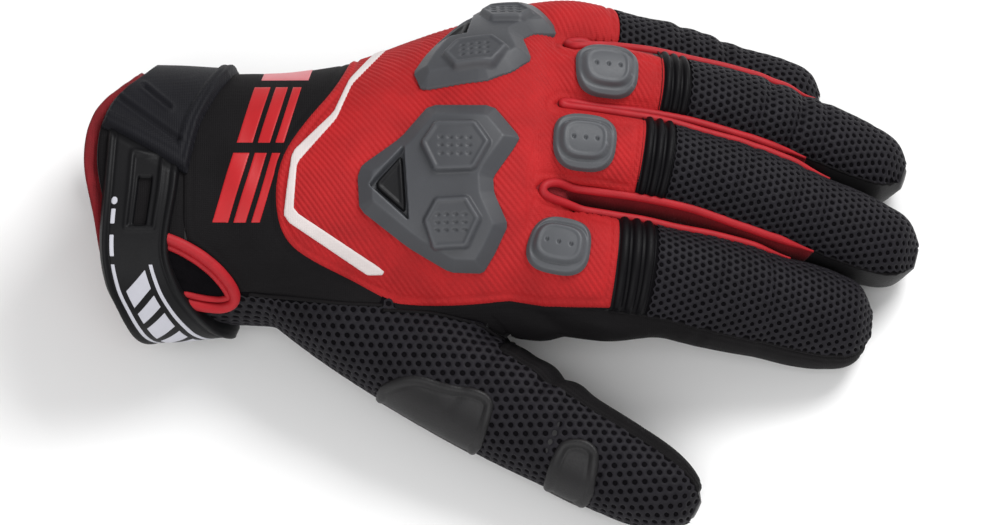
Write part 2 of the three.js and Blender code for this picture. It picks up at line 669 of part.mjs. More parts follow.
// Places: middle along the hand and up the draft plane, as shares; tilt of the plane; size.
const knuckleGuards = [
  { name: 'index_middle', middle: [0.501, 0.126], tilt: 27, size: 1, from: 15 },
  { name: 'ring_little', middle: [0.739, 0.01], tilt: -38, size: 0.88, from: 30 },
];
for (const { name, middle, tilt, size, from } of knuckleGuards) {
  const placed = (outline) => outline.map(([a, b]) => [
    shareAlong(along(middle[0]) + a * guardLength * size),
    middle[1] + (b * guardBreadth * size) / handBreadth,
  ]);
  const plate = prism(placed(guardOutline), tilt, 0, from);
  const insert = prism(placed(insertOutline), tilt, 0, from);
  const pads = guardPads.map((pad) => prism(placed(hexagon.map(([a, b]) => [
    pad.middle[0] + a * pad.half[0], pad.middle[1] + b * pad.half[1],
  ])), tilt, 0, from));
  const top = skin + guardThickness;
  const recess = prism(placed(insertOutline), tilt, seamGap, from);
  addPiece(`knuckle_guard_${name}`, layer(plate.subtract(recess), skin, top)
    .add(layer(join(pads), top - root, top + guardPadHeight)), 'guard');
  addPiece(`guard_insert_${name}`, layer(insert, skin, skin + insertThickness), 'insert');
}

// Oval guards on three fingers
const fingerGuards = [
  { name: 'index', at: 0.2435, roll: 7 }, { name: 'middle', at: 0.26, roll: 5 },
  { name: 'ring', at: 0.325, roll: -4 },
];
const ovalSides = 10;
const ovalPower = 0.75; // under 1 squares the oval's corners
const padShare = { length: 0.66, breadth: 0.6 };
function fingerOval(frame, length, breadth) {
  const shape = new THREE.Shape(Array.from({ length: ovalSides }, (_, i) => {
    const angle = (2 * Math.PI * (i + 0.5)) / ovalSides;
    const corner = (value) => Math.sign(value) * Math.abs(value) ** ovalPower;
    return new THREE.Vector2(corner(Math.cos(angle)) * length / 2, corner(Math.sin(angle)) * breadth / 2);
  }));
  const geometry = new THREE.ExtrudeGeometry(shape, { depth: 30, bevelEnabled: false, steps: 1 });
  const place = new THREE.Matrix4().makeBasis(tangentOf(frame), frame.side, frame.normal);
  geometry.applyMatrix4(place.setPosition(frame.centre));
  return solidOf(geometry);
}
for (const { name, at, roll } of fingerGuards) {
  const frame = fingerFrame(name, at, roll);
  const plate = fingerOval(frame, fingerGuardLength, fingerGuardBreadth);
  const pad = fingerOval(frame, fingerGuardLength * padShare.length, fingerGuardBreadth * padShare.breadth);
  const top = skin + fingerGuardThickness;
  addPiece(`finger_guard_${name}`, layer(plate, skin, top)
    .add(layer(pad, top - root, top + fingerPadHeight)), 'guard');
}

// Leather patches on the back of the thumb
const patches = [
  {
    name: 'knuckle', from: 33, outline: [
      [0.19, -0.41], [0.283, -0.379], [0.41, -0.368], [0.546, -0.395], [0.728, -0.409],
      [0.789, -0.438], [0.789, -0.468], [0.7, -0.62], [0.2, -0.58],
    ],
  },
  {
    name: 'tip', from: 38, outline: [
      [1.05, -0.637], [1.103, -0.564], [1.144, -0.542], [1.245, -0.542], [1.31, -0.569],
      [1.316, -0.602], [1.28, -0.74], [1.03, -0.72],
    ],
  },
];
for (const { name, from, outline } of patches) {
  const region = prism(outline, backTilt, 0, from);
  addPiece(`thumb_patch_${name}`, layer(region, skin, skin + patchThickness), 'leather');
}

export default glove;
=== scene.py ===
# Looks of a short motorcycle glove for the left hand, lying palm down.
# Lengths are millimetres until a mesh is made. +X runs to the fingertips, +Y to the little
# finger and +Z up through the back of the hand.
import math

import bpy
import numpy as np
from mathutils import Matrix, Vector
from mathutils.bvhtree import BVHTree


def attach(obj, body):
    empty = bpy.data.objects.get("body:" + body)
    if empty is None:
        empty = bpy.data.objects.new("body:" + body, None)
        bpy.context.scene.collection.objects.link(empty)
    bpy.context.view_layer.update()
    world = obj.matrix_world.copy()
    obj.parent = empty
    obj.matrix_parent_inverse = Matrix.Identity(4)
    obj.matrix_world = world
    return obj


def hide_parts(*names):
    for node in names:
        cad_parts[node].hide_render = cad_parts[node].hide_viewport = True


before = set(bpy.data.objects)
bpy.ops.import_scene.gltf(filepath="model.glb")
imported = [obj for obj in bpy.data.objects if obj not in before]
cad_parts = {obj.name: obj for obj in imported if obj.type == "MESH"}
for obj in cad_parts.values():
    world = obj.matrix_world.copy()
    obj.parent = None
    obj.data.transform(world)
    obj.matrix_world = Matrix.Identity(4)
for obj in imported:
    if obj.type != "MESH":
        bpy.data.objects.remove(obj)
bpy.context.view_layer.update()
MM = 0.001

# Driving dimensions, as in the part
WRIST_LENGTH = 66
PALM_LENGTH = 52
HAND_BREADTH = 97
HAND_DEPTH = 51
THUMB_LENGTH = 114
THUMB_WIDTH = 31
WALL = 2
LINING_WALL = 1.2
LINING_REACH = 3.5
CUFF_REACH = 26
GUARD_LENGTH = 42
GUARD_BREADTH = 43
GUARD_THICKNESS = 2.4
GUARD_PAD = 1.8
FINGER_GUARD = (16.5, 15, 2.2, 1.5)  # length, breadth, thickness, pad height
FABRIC = 0.7  # height of a sewn panel over the skin
# Turns of the dorsal seams of each finger, in degrees from its back, the thumb's side first
SEAMS = {"index": (-52, 78), "middle": (-64, 66), "ring": (-66, 50), "little": (-84, 84)}
SPLAY_END = 0.34
TIP_RISE = 0.2
SECTION_POWER = 2 / 2.15

FINGERS = {
    "index": dict(length=110.5, width=28, depth=25, root_along=0.58, root_side=-0.253, splay=0.09,
                  root_rise=0.7, tip_side=-0.33, bend=1, haste=1, roll=18, tab_end=0.375, flex_end=0.45),
    "middle": dict(length=121, width=24.5, depth=25, root_along=0.615, root_side=0.041, splay=0,
                   root_rise=0.79, tip_side=-0.124, bend=2, haste=1, roll=0, tab_end=0.383, flex_end=0.44),
    "ring": dict(length=120, width=23.5, depth=24, root_along=0.58, root_side=0.258, splay=-0.03,
                 root_rise=0.715, tip_side=0.119, bend=3.4, haste=1.03, roll=-20, tab_end=0.437,
                 flex_end=0.492),
    "little": dict(length=101.5, width=21, depth=21, root_along=0.5, root_side=0.454, splay=-0.16,
                   root_rise=0.569, tip_side=0.35, bend=3, haste=1.18, roll=-30, tab_end=0.44,
                   flex_end=0.44),
}


def table(columns, rows):
    """Named columns of a short table."""
    return {name: np.array([row[i] for row in rows], float) for i, name in enumerate(columns.split())}


HAND = table("at side half rise depth arch", [
    (-1, -0.03, 0.365, 0.53, 0.462, 0),
    (-0.65, -0.028, 0.364, 0.52, 0.46, 0),
    (-0.42, -0.012, 0.35, 0.49, 0.475, 0.02),
    (-0.2, -0.005, 0.354, 0.475, 0.51, 0.04),
    (0.06, 0, 0.378, 0.5, 0.515, 0.08),
    (0.38, 0.015, 0.428, 0.605, 0.42, 0.12),
    (0.73, 0.026, 0.464, 0.705, 0.355, 0.157),
    (1, 0.041, 0.464, 0.725, 0.304, 0.176),
    (1.15, 0.041, 0.435, 0.71, 0.2, 0.17),
])
FINGER = table("at drop girth", [
    (0, 1, 0.66), (0.16, 0.98, 0.96), (0.4, 0.87, 1.01), (0.5, 0.76, 0.97), (0.58, 0.63, 1),
    (0.68, 0.46, 0.98), (0.75, 0.32, 0.93), (0.83, 0.18, 0.93), (0.9, 0.07, 0.86),
    (0.96, 0.01, 0.68), (1, 0, 0.16),
])
THUMB = table("at half depth", [
    (0, 0.39, 0.45), (0.12, 0.48, 0.5), (0.325, 0.5, 0.5), (0.58, 0.45, 0.435), (0.7, 0.41, 0.405),
    (0.82, 0.38, 0.385), (0.91, 0.33, 0.35), (0.97, 0.22, 0.26), (1, 0.06, 0.08),
])
# The rim of the lining: how far it lies back, a share of the wrist's length, up the draft plane
RIM = table("at back", [
    (-0.5, 0.42), (-0.3, 0.3), (-0.12, 0.1), (0.06, 0.04), (0.22, 0), (0.35, 0.045), (0.44, 0.19),
    (0.55, 0.4),
])
THUMB_ROOT = (-0.3, -0.155, 0.47)  # along, side, rise
THUMB_TIP = (-0.88, 0.2)  # side, rise
THUMB_BOW = -0.036
THUMB_ROLL = 24


# Numbers and curves

def read(rows, column, at):
    """A smooth curve through one column of a table."""
    x, y = rows["at"], rows[column]
    count = len(x)
    low = np.clip(np.arange(count) - 1, 0, None)
    high = np.clip(np.arange(count) + 1, None, count - 1)
    slope = (y[high] - y[low]) / (x[high] - x[low])
    row = np.clip(np.searchsorted(x, at, side="right") - 1, 0, count - 2)
    span = x[row + 1] - x[row]
    t = np.clip((at - x[row]) / span, 0, 1)
    rise = y[row + 1] - y[row]
    early, late = slope[row] * span, slope[row + 1] * span
    return y[row] + t * early + t * t * (3 * rise - 2 * early - late) + t ** 3 * (early + late - 2 * rise)


def along(share):
    share = np.asarray(share, float)
    return share * np.where(share < 0, WRIST_LENGTH, PALM_LENGTH)


def share_along(x):
    x = np.asarray(x, float)
    return x / np.where(x < 0, WRIST_LENGTH, PALM_LENGTH)


def unit(v):
    return v / np.maximum(np.linalg.norm(v, axis=-1, keepdims=True), 1e-9)


def smoothstep(low, high, value):
    t = np.clip((value - low) / (high - low), 0, 1)
    return t * t * (3 - 2 * t)


def bump_at(value, place, width):
    return np.exp(-(((value - place) / width) ** 2))


# Frames along the hand, the fingers and the thumb

def frames(centre, side, normal, half, depth, arch=0.0):
    arch = np.broadcast_to(arch, np.shape(half))
    return dict(centre=centre, side=side, normal=normal, half=half, depth=depth, arch=arch)


def hand_place(x, side, rise):
    """Points from x and from shares of the hand's breadth and depth."""
    return np.stack([x, side * HAND_BREADTH, rise * HAND_DEPTH], -1)


def hand_frames(at):
    at = np.atleast_1d(np.asarray(at, float))
    centre = hand_place(along(at), read(HAND, "side", at), read(HAND, "rise", at))
    side = np.broadcast_to([0.0, 1, 0], centre.shape)
    normal = np.broadcast_to([0.0, 0, 1], centre.shape)
    return frames(centre, side, normal, read(HAND, "half", at) * HAND_BREADTH,
                  read(HAND, "depth", at) * HAND_DEPTH, read(HAND, "arch", at) * HAND_DEPTH)


def frames_on(curve, at, roll, half, depth):
    step = 0.03
    tangent = unit(curve(np.minimum(at + step, 1)) - curve(np.maximum(at - step, 0)))
    side = unit(np.cross([0.0, 0, 1], tangent))
    normal = np.cross(tangent, side)
    c, s = math.cos(math.radians(roll)), math.sin(math.radians(roll))
    return frames(curve(at), side * c + normal * s, normal * c - side * s, half, depth)


def finger_frames(name, at):
    finger = FINGERS[name]
    at = np.atleast_1d(np.asarray(at, float))

    def curve(s):
        drop = read(FINGER, "drop", np.minimum(s * finger["haste"], 1))
        rise = TIP_RISE + (finger["root_rise"] - TIP_RISE) * drop
        inside = finger["splay"] * np.maximum(0, 1 - s / SPLAY_END) ** 2
        turned = (finger["tip_side"] - finger["root_side"]) * s ** finger["bend"]
        side = finger["root_side"] + inside + turned
        return hand_place(along(finger["root_along"]) + s * finger["length"], side, rise)

    girth = read(FINGER, "girth", at) / 2
    return frames_on(curve, at, finger["roll"], finger["width"] * girth, finger["depth"] * girth)


def thumb_frames(at):
    at = np.atleast_1d(np.asarray(at, float))

    def curve(s):
        side = THUMB_ROOT[1] + (THUMB_TIP[0] - THUMB_ROOT[1]) * s + THUMB_BOW * 4 * s * (1 - s)
        rise = THUMB_ROOT[2] + (THUMB_TIP[1] - THUMB_ROOT[2]) * s
        return hand_place(along(THUMB_ROOT[0]) + s * THUMB_LENGTH, side, rise)

    return frames_on(curve, at, THUMB_ROLL, read(THUMB, "half", at) * THUMB_WIDTH,
                     read(THUMB, "depth", at) * THUMB_WIDTH)


def bulge(value):
    """A sine or cosine drawn towards a fuller section."""
    return np.sign(value) * np.abs(value) ** SECTION_POWER


def section_points(f, turn):
    """Points of rounded sections. turn 0 is their side, a quarter turn their back."""
    across = bulge(np.cos(turn))
    half = np.maximum(f["half"], 0.3)[:, None]
    up = bulge(np.sin(turn)) * np.maximum(f["depth"], 0.3)[:, None] - f["arch"][:, None] * across ** 2
    return (f["centre"][:, None] + f["side"][:, None] * (across * half)[..., None]
            + f["normal"][:, None] * up[..., None])


# Meshes

def grid_faces(rows, columns, wrap=False):
    """Quads of a grid of points, its last column joined to its first if it wraps."""
    last = columns if wrap else columns - 1
    i, j = np.meshgrid(np.arange(rows - 1), np.arange(last), indexing="ij")
    next_j = (j + 1) % columns
    here, ahead = i * columns, (i + 1) * columns
    return np.stack([here + j, here + next_j, ahead + next_j, ahead + j], -1).reshape(-1, 4)


def mesh_object(name, points, faces, material=None):
    """An object from points in millimetres and an array of faces, all with as many corners."""
    corners = faces.shape[1]
    mesh = bpy.data.meshes.new(name)
    mesh.vertices.add(len(points))
    mesh.vertices.foreach_set("co", (np.asarray(points, float) * MM).ravel())
    mesh.loops.add(faces.size)
    mesh.loops.foreach_set("vertex_index", faces.ravel().astype(np.int32))
    mesh.polygons.add(len(faces))
    mesh.polygons.foreach_set("loop_start", (np.arange(len(faces)) * corners).astype(np.int32))
    mesh.polygons.foreach_set("use_smooth", np.ones(len(faces), bool))
    mesh.update(calc_edges=True)
    mesh.validate()
    if material:
        mesh.materials.append(material)
    obj = bpy.data.objects.new(name, mesh)
    bpy.context.scene.collection.objects.link(obj)
    return obj


def piece(name, points, faces, finish, nodes=(), slot=None):
    """A visible piece of the glove: it rides on the body and stands for the named nodes.
    Its slot argument is not used."""
    obj = mesh_object(name, points, faces, FINISH[finish])
    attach(obj, "root")
    slot or finish
    if nodes:
        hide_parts(*nodes)
    return obj


def points_and_faces(obj):
    mesh = obj.data
    points = np.empty(len(mesh.vertices) * 3)
    mesh.vertices.foreach_get("co", points)
    faces = np.array([tuple(p.vertices) for p in mesh.polygons])
    return points.reshape(-1, 3) / MM, faces


def vertex_normals(points, faces):
    corners = points[faces]
    face_normals = np.cross(corners[:, 2] - corners[:, 0], corners[:, 3] - corners[:, 1])
    normals = np.zeros_like(points)
    for corner in range(4):
        for axis in range(3):
            normals[:, axis] += np.bincount(faces[:, corner], face_normals[:, axis], len(points))
    return unit(normals)


def relaxed(points, faces, rounds, share=0.5):
    """Moves each point towards the middle of its neighbours."""
    starts = faces.ravel()
    ends = np.roll(faces, -1, axis=1).ravel()
    a = np.concatenate([starts, ends])
    b = np.concatenate([ends, starts])
    degree = np.bincount(a, minlength=len(points))
    for _ in range(rounds):
        total = np.stack([np.bincount(a, points[b, axis], len(points)) for axis in range(3)], -1)
        points = points + (total / degree[:, None] - points) * share
    return points


# The skin: the hand, the thumb and the finger roots as one smooth surface under the panels

SKIN_STEP = 0.9
SKIN_SIDES = 96
SMOOTHING = 12  # rounds
STUB_END = 0.5  # share of a finger that is part of the skin


def closed_tube(rings):
    """Points and quads of a tube whose ends close on their middle."""
    first, last = rings[0].mean(0), rings[-1].mean(0)
    capped = np.concatenate([np.broadcast_to(first, (1,) + rings[0].shape), rings,
                             np.broadcast_to(last, (1,) + rings[0].shape)])
    return capped.reshape(-1, 3), grid_faces(len(capped), rings.shape[1], wrap=True)


def joined(parts):
    points, faces, start = [], [], 0
    for p, f in parts:
        points.append(p)
        faces.append(f + start)
        start += len(p)
    return np.concatenate(points), np.concatenate(faces)


def cloth_folds(points):
    """Soft dents and rises of the cloth over the back of the hand, and folds across the wrist."""
    x, y = points[..., 0], points[..., 1]
    dents = 0.35 * np.sin(x / 7.5 + y / 11) * np.sin(y / 9.5 - x / 19) + 0.2 * np.sin(x / 4.1 - y / 6.3 + 1)
    wrist_folds = 0.5 * np.sin((x + 0.35 * y) / 2.6) * bump_at(x, -22, 11) * bump_at(y, -8, 22)
    return dents * smoothstep(-30, -5, x) * smoothstep(78, 60, x) + wrist_folds


def make_skin():
    turn = np.linspace(0, 2 * math.pi, SKIN_SIDES, endpoint=False)
    fine = turn[::2]
    tubes = [section_points(hand_frames(np.linspace(-1, 1.15, 110)), turn)]
    tubes += [section_points(finger_frames(name, np.linspace(0, STUB_END, 60)), fine) for name in FINGERS]
    tubes.append(section_points(thumb_frames(np.linspace(0, 1, 90)), fine))
    raw = mesh_object("raw_skin", *joined([closed_tube(rings) for rings in tubes]))
    remesh = raw.modifiers.new("remesh", "REMESH")
    remesh.mode = "VOXEL"
    remesh.voxel_size = SKIN_STEP * MM
    bpy.context.view_layer.update()
    evaluated = raw.evaluated_get(bpy.context.evaluated_depsgraph_get())
    baked = bpy.data.meshes.new_from_object(evaluated)
    raw.modifiers.clear()
    raw.data = baked
    points, faces = points_and_faces(raw)
    bpy.data.objects.remove(raw)
    points = relaxed(points, faces, SMOOTHING)
    normals = vertex_normals(points, faces)
    points = points + normals * (cloth_folds(points) * smoothstep(-0.1, 0.5, normals[:, 2]))[:, None]
    points[:, 2] = np.maximum(points[:, 2], 0.0)
    return points, faces


skin_points, skin_faces = make_skin()
skin_tree = BVHTree.FromPolygons(skin_points.tolist(), skin_faces.tolist())


def ray_hits(origins, directions, reach):
    """Where rays meet the skin, and nan where they meet nothing within their reach."""
    shape = directions.shape
    origins = np.broadcast_to(origins, shape).reshape(-1, 3)
    reach = np.broadcast_to(reach, shape[:-1]).ravel()
    directions = directions.reshape(-1, 3)
    hits = np.full((len(directions), 3), np.nan)
    for k in range(len(directions)):
        place = skin_tree.ray_cast(Vector(origins[k]), Vector(directions[k]), float(reach[k]))[0]
        if place is not None:
            hits[k] = place
    return hits.reshape(shape)


# Sheets: grids of points over the skin, with a place for each pair of millimetres

SHEET_STEP = 0.8


class Sheet:
    """Points, normals and named values in rows and columns, looked up by two coordinates."""

    def __init__(self, points, u, v, inside_point, **values):
        self.points, self.u, self.v, self.values = points, u, v, values
        normals = unit(np.cross(np.gradient(points, axis=0), np.gradient(points, axis=1)))
        i, j = len(u) // 3, len(v) // 2
        outward = np.sign(np.dot(normals[i, j], points[i, j] - inside_point))
        self.normals = normals * outward

    def look(self, grid, u, v):
        i = np.clip((u - self.u[0]) / (self.u[1] - self.u[0]), 0, len(self.u) - 1.001)
        j = np.clip((v - self.v[0]) / (self.v[1] - self.v[0]), 0, len(self.v) - 1.001)
        a, b = i.astype(int), j.astype(int)
        s, t = i - a, j - b
        if grid.ndim == 3:
            s, t = s[..., None], t[..., None]
        return ((grid[a, b] * (1 - t) + grid[a, b + 1] * t) * (1 - s)
                + (grid[a + 1, b] * (1 - t) + grid[a + 1, b + 1] * t) * s)

    def at(self, u, v):
        return self.look(self.points, u, v), unit(self.look(self.normals, u, v))

    def value(self, name, u, v):
        return self.look(self.values[name], u, v)


def even_rows(points, turns, half_width):
    """Each row of points again, at even steps along it from its middle, with their turns."""
    v = np.arange(-half_width, half_width + SHEET_STEP, SHEET_STEP)
    even = np.empty((len(points), len(v), 3))
    even_turns = np.empty((len(points), len(v)))
    for k, row in enumerate(points):
        length = np.concatenate([[0], np.cumsum(np.linalg.norm(np.diff(row, axis=0), axis=1))])
        length -= length[len(row) // 2]
        for axis in range(3):
            even[k, :, axis] = np.interp(v, length, row[:, axis])
        even_turns[k] = np.interp(v, length, turns)
    return even, even_turns, v


class Limb(Sheet):
    """The sheet of a finger or the thumb: u runs along its back and v round it from its back.
    A positive v is on the side of the little finger. Before the share own it lies on the skin."""

    def __init__(self, frames_at, first, own, folds, reach):
        turns = np.linspace(-180, 180, 145)
        section_turn = np.radians(90 - turns)
        tip_middle = 0.93

        def rows(shares):
            target = section_points(frames_at(shares), section_turn)
            centre = frames_at(np.minimum(shares, tip_middle))["centre"]
            origin = np.broadcast_to(centre[:, None], target.shape)
            out = target - origin
            size = np.linalg.norm(out, axis=-1)
            near = shares < own[1]
            found = ray_hits(origin[near], unit(out[near]), size[near] * reach)
            hits = target.copy()
            hits[near] = np.where(np.isnan(found), target[near], found)
            share = smoothstep(own[0], own[1], shares)[:, None, None]
            return hits * (1 - share) + target * share

        even_shares = np.linspace(first, 1, 120)
        back = section_points(frames_at(even_shares), np.array([math.pi / 2]))[:, 0]
        length = np.concatenate([[0], np.cumsum(np.linalg.norm(np.diff(back, axis=0), axis=1))])
        u = np.arange(0, length[-1], SHEET_STEP)
        self.shares = np.interp(u, length, even_shares)
        points = rows(self.shares)
        inside = frames_at(self.shares[[len(u) // 3]])["centre"][0]
        plain = Sheet(points, u, turns, inside)
        points = points + plain.normals * folds(self.shares[:, None], turns[None, :])[..., None]
        points[..., 2] = np.maximum(points[..., 2], 0)
        self.rings, self.ring_normals = points, Sheet(points, u, turns, inside).normals
        girth = np.linalg.norm(np.diff(points, axis=1), axis=-1).sum(1)
        self.radius = girth / (2 * math.pi)
        even, even_turns, v = even_rows(points, turns, girth.max() / 2)
        super().__init__(even, u, v, inside, turn=even_turns)

    def along(self, share):
        return np.interp(share, self.shares, self.u)

    def within(self, u, v, start, end, low, high):
        """Millimetres inside two shares of the length and two turns in degrees."""
        turn = self.value("turn", u, v)
        arc = np.interp(u, self.u, self.radius) * math.pi / 180
        return np.minimum(np.minimum(u - self.along(start), self.along(end) - u),
                          np.minimum(turn - low, high - turn) * arc)


def creases(places):
    """Folds across the back of a limb: share, turn, depth in millimetres, slant and width."""
    def depth(share, turn):
        total = np.zeros(np.broadcast(share, turn).shape)
        for at, middle, amount, slant, width in places:
            line = share - at - slant * (turn - middle) / 90
            fade = np.exp(-(((turn - middle) / 62) ** 2))
            beside = [0.7 * bump_at(line, away * width, width * 1.3) for away in (1.9, -1.9)]
            total += fade * amount * (beside[0] + beside[1] - bump_at(line, 0, width))
        return total
    return depth


LIMB_FOLDS = {
    "index": [(0.6, -10, 0.35, 0.02, 0.012), (0.72, 10, 0.4, -0.02, 0.013)],
    "middle": [(0.585, 10, 0.4, 0.03, 0.012), (0.7, 0, 0.5, 0.02, 0.013), (0.765, -20, 0.3, -0.02, 0.01)],
    "ring": [(0.66, 0, 0.7, 0.03, 0.013), (0.73, -10, 0.8, 0.02, 0.013), (0.79, 0, 0.45, -0.02, 0.011)],
    "little": [(0.6, 0, 0.5, 0.02, 0.015), (0.72, 0, 0.6, -0.02, 0.015)],
    "thumb": [(0.5, 30, 0.4, 0.03, 0.012), (0.63, 80, 0.9, 0.04, 0.018), (0.68, 0, 0.35, -0.03, 0.012),
              (0.8, -10, 0.3, 0.02, 0.01)],
}
FINGER_OWN, THUMB_OWN = (0.38, 0.47), (0.42, 0.55)  # shares over which a limb leaves the common skin
FINGER_FIRST, THUMB_FIRST = 0.12, -0.07  # share at which a limb's sheet starts
FINGER_SEEK, THUMB_SEEK = 1.45, 2.4  # how far out it looks for the skin, in sizes of its section
limbs = {}
for finger_name in FINGERS:
    limbs[finger_name] = Limb(lambda at, name=finger_name: finger_frames(name, at), FINGER_FIRST, FINGER_OWN,
                              creases(LIMB_FOLDS[finger_name]), FINGER_SEEK)
limbs["thumb"] = Limb(thumb_frames, THUMB_FIRST, THUMB_OWN, creases(LIMB_FOLDS["thumb"]), THUMB_SEEK)


# The sheet of the back of the hand: u is x, and v runs round the hand from its middle.
FAN_DROP = 30  # how far below the middle of the hand its rays start
WRIST_DROP = 10
BACK_RADIUS = 50
DRAFT_TILT = 27


def make_back():
    """Rays fan out from an axis under the hand; on the thumb's side they run square to the draft plane."""
    x = np.arange(-50, 96, SHEET_STEP)
    fans = np.radians(np.linspace(-76, 84, 267))
    f = hand_frames(share_along(np.minimum(x, PALM_LENGTH)))
    rise = np.interp(x, [-20, 20], [WRIST_DROP, FAN_DROP])
    middle = np.stack([x, f["centre"][:, 1], f["centre"][:, 2] - rise], -1)
    leaned = np.maximum(fans, -math.radians(DRAFT_TILT))
    level = np.zeros(len(fans))
    out = np.stack([level, np.sin(leaned), np.cos(leaned)], -1)
    aside = np.stack([level, np.cos(leaned), -np.sin(leaned)], -1) * (fans - leaned)[:, None] * BACK_RADIUS
    far = 110.0
    directions = np.broadcast_to(out, (len(x), len(fans), 3))
    start = middle[:, None] + aside[None]
    points = ray_hits(start + directions * far, -directions, far)
    points = np.where(np.isnan(points[..., :1]), start + directions * 3, points)
    return Sheet(points, x, fans * BACK_RADIUS, middle[len(x) // 3])


back = make_back()


# The sheet of the wrist: u is x, and v the turn in degrees from the side of the little finger.

def wrist_points(x, turn, grow=0.0):
    """Points over the wrist's skin at places along it and turns in degrees."""
    x, turn, grow = (a.astype(float) for a in np.broadcast_arrays(x, turn, grow))
    f = hand_frames(share_along(np.maximum(x, -WRIST_LENGTH)).ravel())
    flat_turn, flat_grow = np.radians(turn.ravel()), grow.ravel()
    across = bulge(np.cos(flat_turn))
    up = bulge(np.sin(flat_turn)) * (f["depth"] + flat_grow) - f["arch"] * across ** 2
    points = f["centre"] + f["side"] * (across * (f["half"] + flat_grow))[:, None] + f["normal"] * up[:, None]
    points[:, 0] = x.ravel()
    points[:, 2] = np.maximum(points[:, 2], np.maximum(-flat_grow, 0))
    return points.reshape(x.shape + (3,))


def make_wrist():
    x = np.arange(-WRIST_LENGTH - 0.8, 12, SHEET_STEP)
    turns = np.arange(-90, 271.0, 1.5)
    return Sheet(wrist_points(x[:, None], turns[None, :]), x, turns, np.array([-40.0, 0, 25]))


wrist = make_wrist()


# Panels

def leaning_axes(tilt):
    """The direction up along a plane that leans by a tilt, and the one square out of it."""
    lean = math.radians(tilt)
    return np.array([0, math.cos(lean), math.sin(lean)]), np.array([0, -math.sin(lean), math.cos(lean)])


def draft(points):
    """Points seen square to a plane that leans towards the thumb: along, and up the plane."""
    lean = math.radians(DRAFT_TILT)
    return points[..., 0], points[..., 1] * math.cos(lean) + points[..., 2] * math.sin(lean)


def rim_x(v):
    """Where the lining's rim lies along x, at millimetres up the draft plane."""
    return (read(RIM, "back", v / HAND_BREADTH) - 1) * WRIST_LENGTH


def outline_points(rows):
    """Corners given as shares of the hand, in millimetres."""
    rows = np.array(rows, float)
    return np.stack([along(rows[:, 0]), rows[:, 1] * HAND_BREADTH], -1)


def rounded(corners, rounds=2, cut=0.25):
    """An outline with its corners cut and cut again."""
    for _ in range(rounds):
        after = np.roll(corners, -1, axis=0)
        both = [corners * (1 - cut) + after * cut, corners * cut + after * (1 - cut)]
        corners = np.stack(both, 1).reshape(-1, 2)
    return corners


def line_distance(a, b, starts, ends):
    """Distance of places from the lines between pairs of corners."""
    nearest = np.full(np.shape(a), 1e9)
    for (x0, y0), (x1, y1) in zip(starts, ends):
        dx, dy = x1 - x0, y1 - y0
        t = np.clip(((a - x0) * dx + (b - y0) * dy) / max(dx * dx + dy * dy, 1e-9), 0, 1)
        nearest = np.minimum(nearest, (a - x0 - t * dx) ** 2 + (b - y0 - t * dy) ** 2)
    return np.sqrt(nearest)


def outside_line(a, b, path):
    """Distance of places from an open line."""
    return line_distance(a, b, path[:-1], path[1:])


def inside_outline(a, b, corners):
    """Signed distance of places from a closed outline, positive inside."""
    after = np.roll(corners, -1, axis=0)
    odd = np.zeros(np.shape(a), bool)
    for (x0, y0), (x1, y1) in zip(corners, after):
        if y0 != y1:
            odd ^= ((y0 > b) != (y1 > b)) & (a < x0 + (b - y0) * (x1 - x0) / (y1 - y0))
    return np.where(odd, 1, -1) * line_distance(a, b, corners, after)


def cloth(low, rise=0.0, width=1.0, stitch=0.0, stitch_at=2.2):
    """Heights of a cloth with a soft edge and a sunken row of stitches, in millimetres inside its edge."""
    return lambda u, v, edge: low + rise * smoothstep(0, width, edge) - stitch * bump_at(edge, stitch_at, 0.4)


def with_skirt(points, normals, faces, depth):
    """Adds a wall below every open edge of a panel."""
    a = faces.ravel()
    b = np.roll(faces, -1, axis=1).ravel()
    count = len(points)
    codes, reverse = a * count + b, b * count + a
    edge = ~np.isin(codes, reverse)
    a, b = a[edge], b[edge]
    rim = np.unique(np.concatenate([a, b]))
    below = np.zeros(count, int)
    below[rim] = count + np.arange(len(rim))
    wall_faces = np.stack([b, a, below[a], below[b]], -1)
    return np.concatenate([points, points[rim] - normals[rim] * depth]), np.concatenate([faces, wall_faces])


def panel(name, sample, u, v, mask, height, finish, nodes=(), slot=None, skirt=1.2):
    """A panel over a sheet. sample gives points and normals at two coordinates, mask the
    millimetres inside the panel's edge, and height the millimetres over the skin."""
    gu, gv = np.meshgrid(u, v, indexing="ij")
    inside = mask(gu, gv)
    kept = inside > 0
    cells = kept[:-1, :-1] | kept[1:, :-1] | kept[:-1, 1:] | kept[1:, 1:]
    slope_u, slope_v = np.gradient(inside, u[1] - u[0], v[1] - v[0])
    steep = np.maximum(slope_u ** 2 + slope_v ** 2, 1e-3)
    move = np.where(kept, 0, -inside / steep)
    limit_u, limit_v = u[1] - u[0], v[1] - v[0]
    gu = gu + np.clip(move * slope_u, -limit_u, limit_u)
    gv = gv + np.clip(move * slope_v, -limit_v, limit_v)
    faces = grid_faces(len(u), len(v)).reshape(len(u) - 1, len(v) - 1, 4)[cells]
    used = np.unique(faces)
    index = np.zeros(gu.size, int)
    index[used] = np.arange(len(used))
    gu, gv = gu.ravel()[used], gv.ravel()[used]
    edge = np.maximum(np.where(kept.ravel()[used], inside.ravel()[used], 0), 0)
    points, normals = sample(gu, gv)
    points = points + normals * height(gu, gv, edge)[:, None]
    faces = index[faces]
    face = faces[len(faces) // 2]
    turned = np.cross(points[face[1]] - points[face[0]], points[face[2]] - points[face[0]])
    if np.dot(turned, normals[face[0]]) < 0:
        faces = faces[:, ::-1]
    points, faces = with_skirt(points, normals, faces, skirt)
    piece(name, points, faces, finish, nodes, slot)


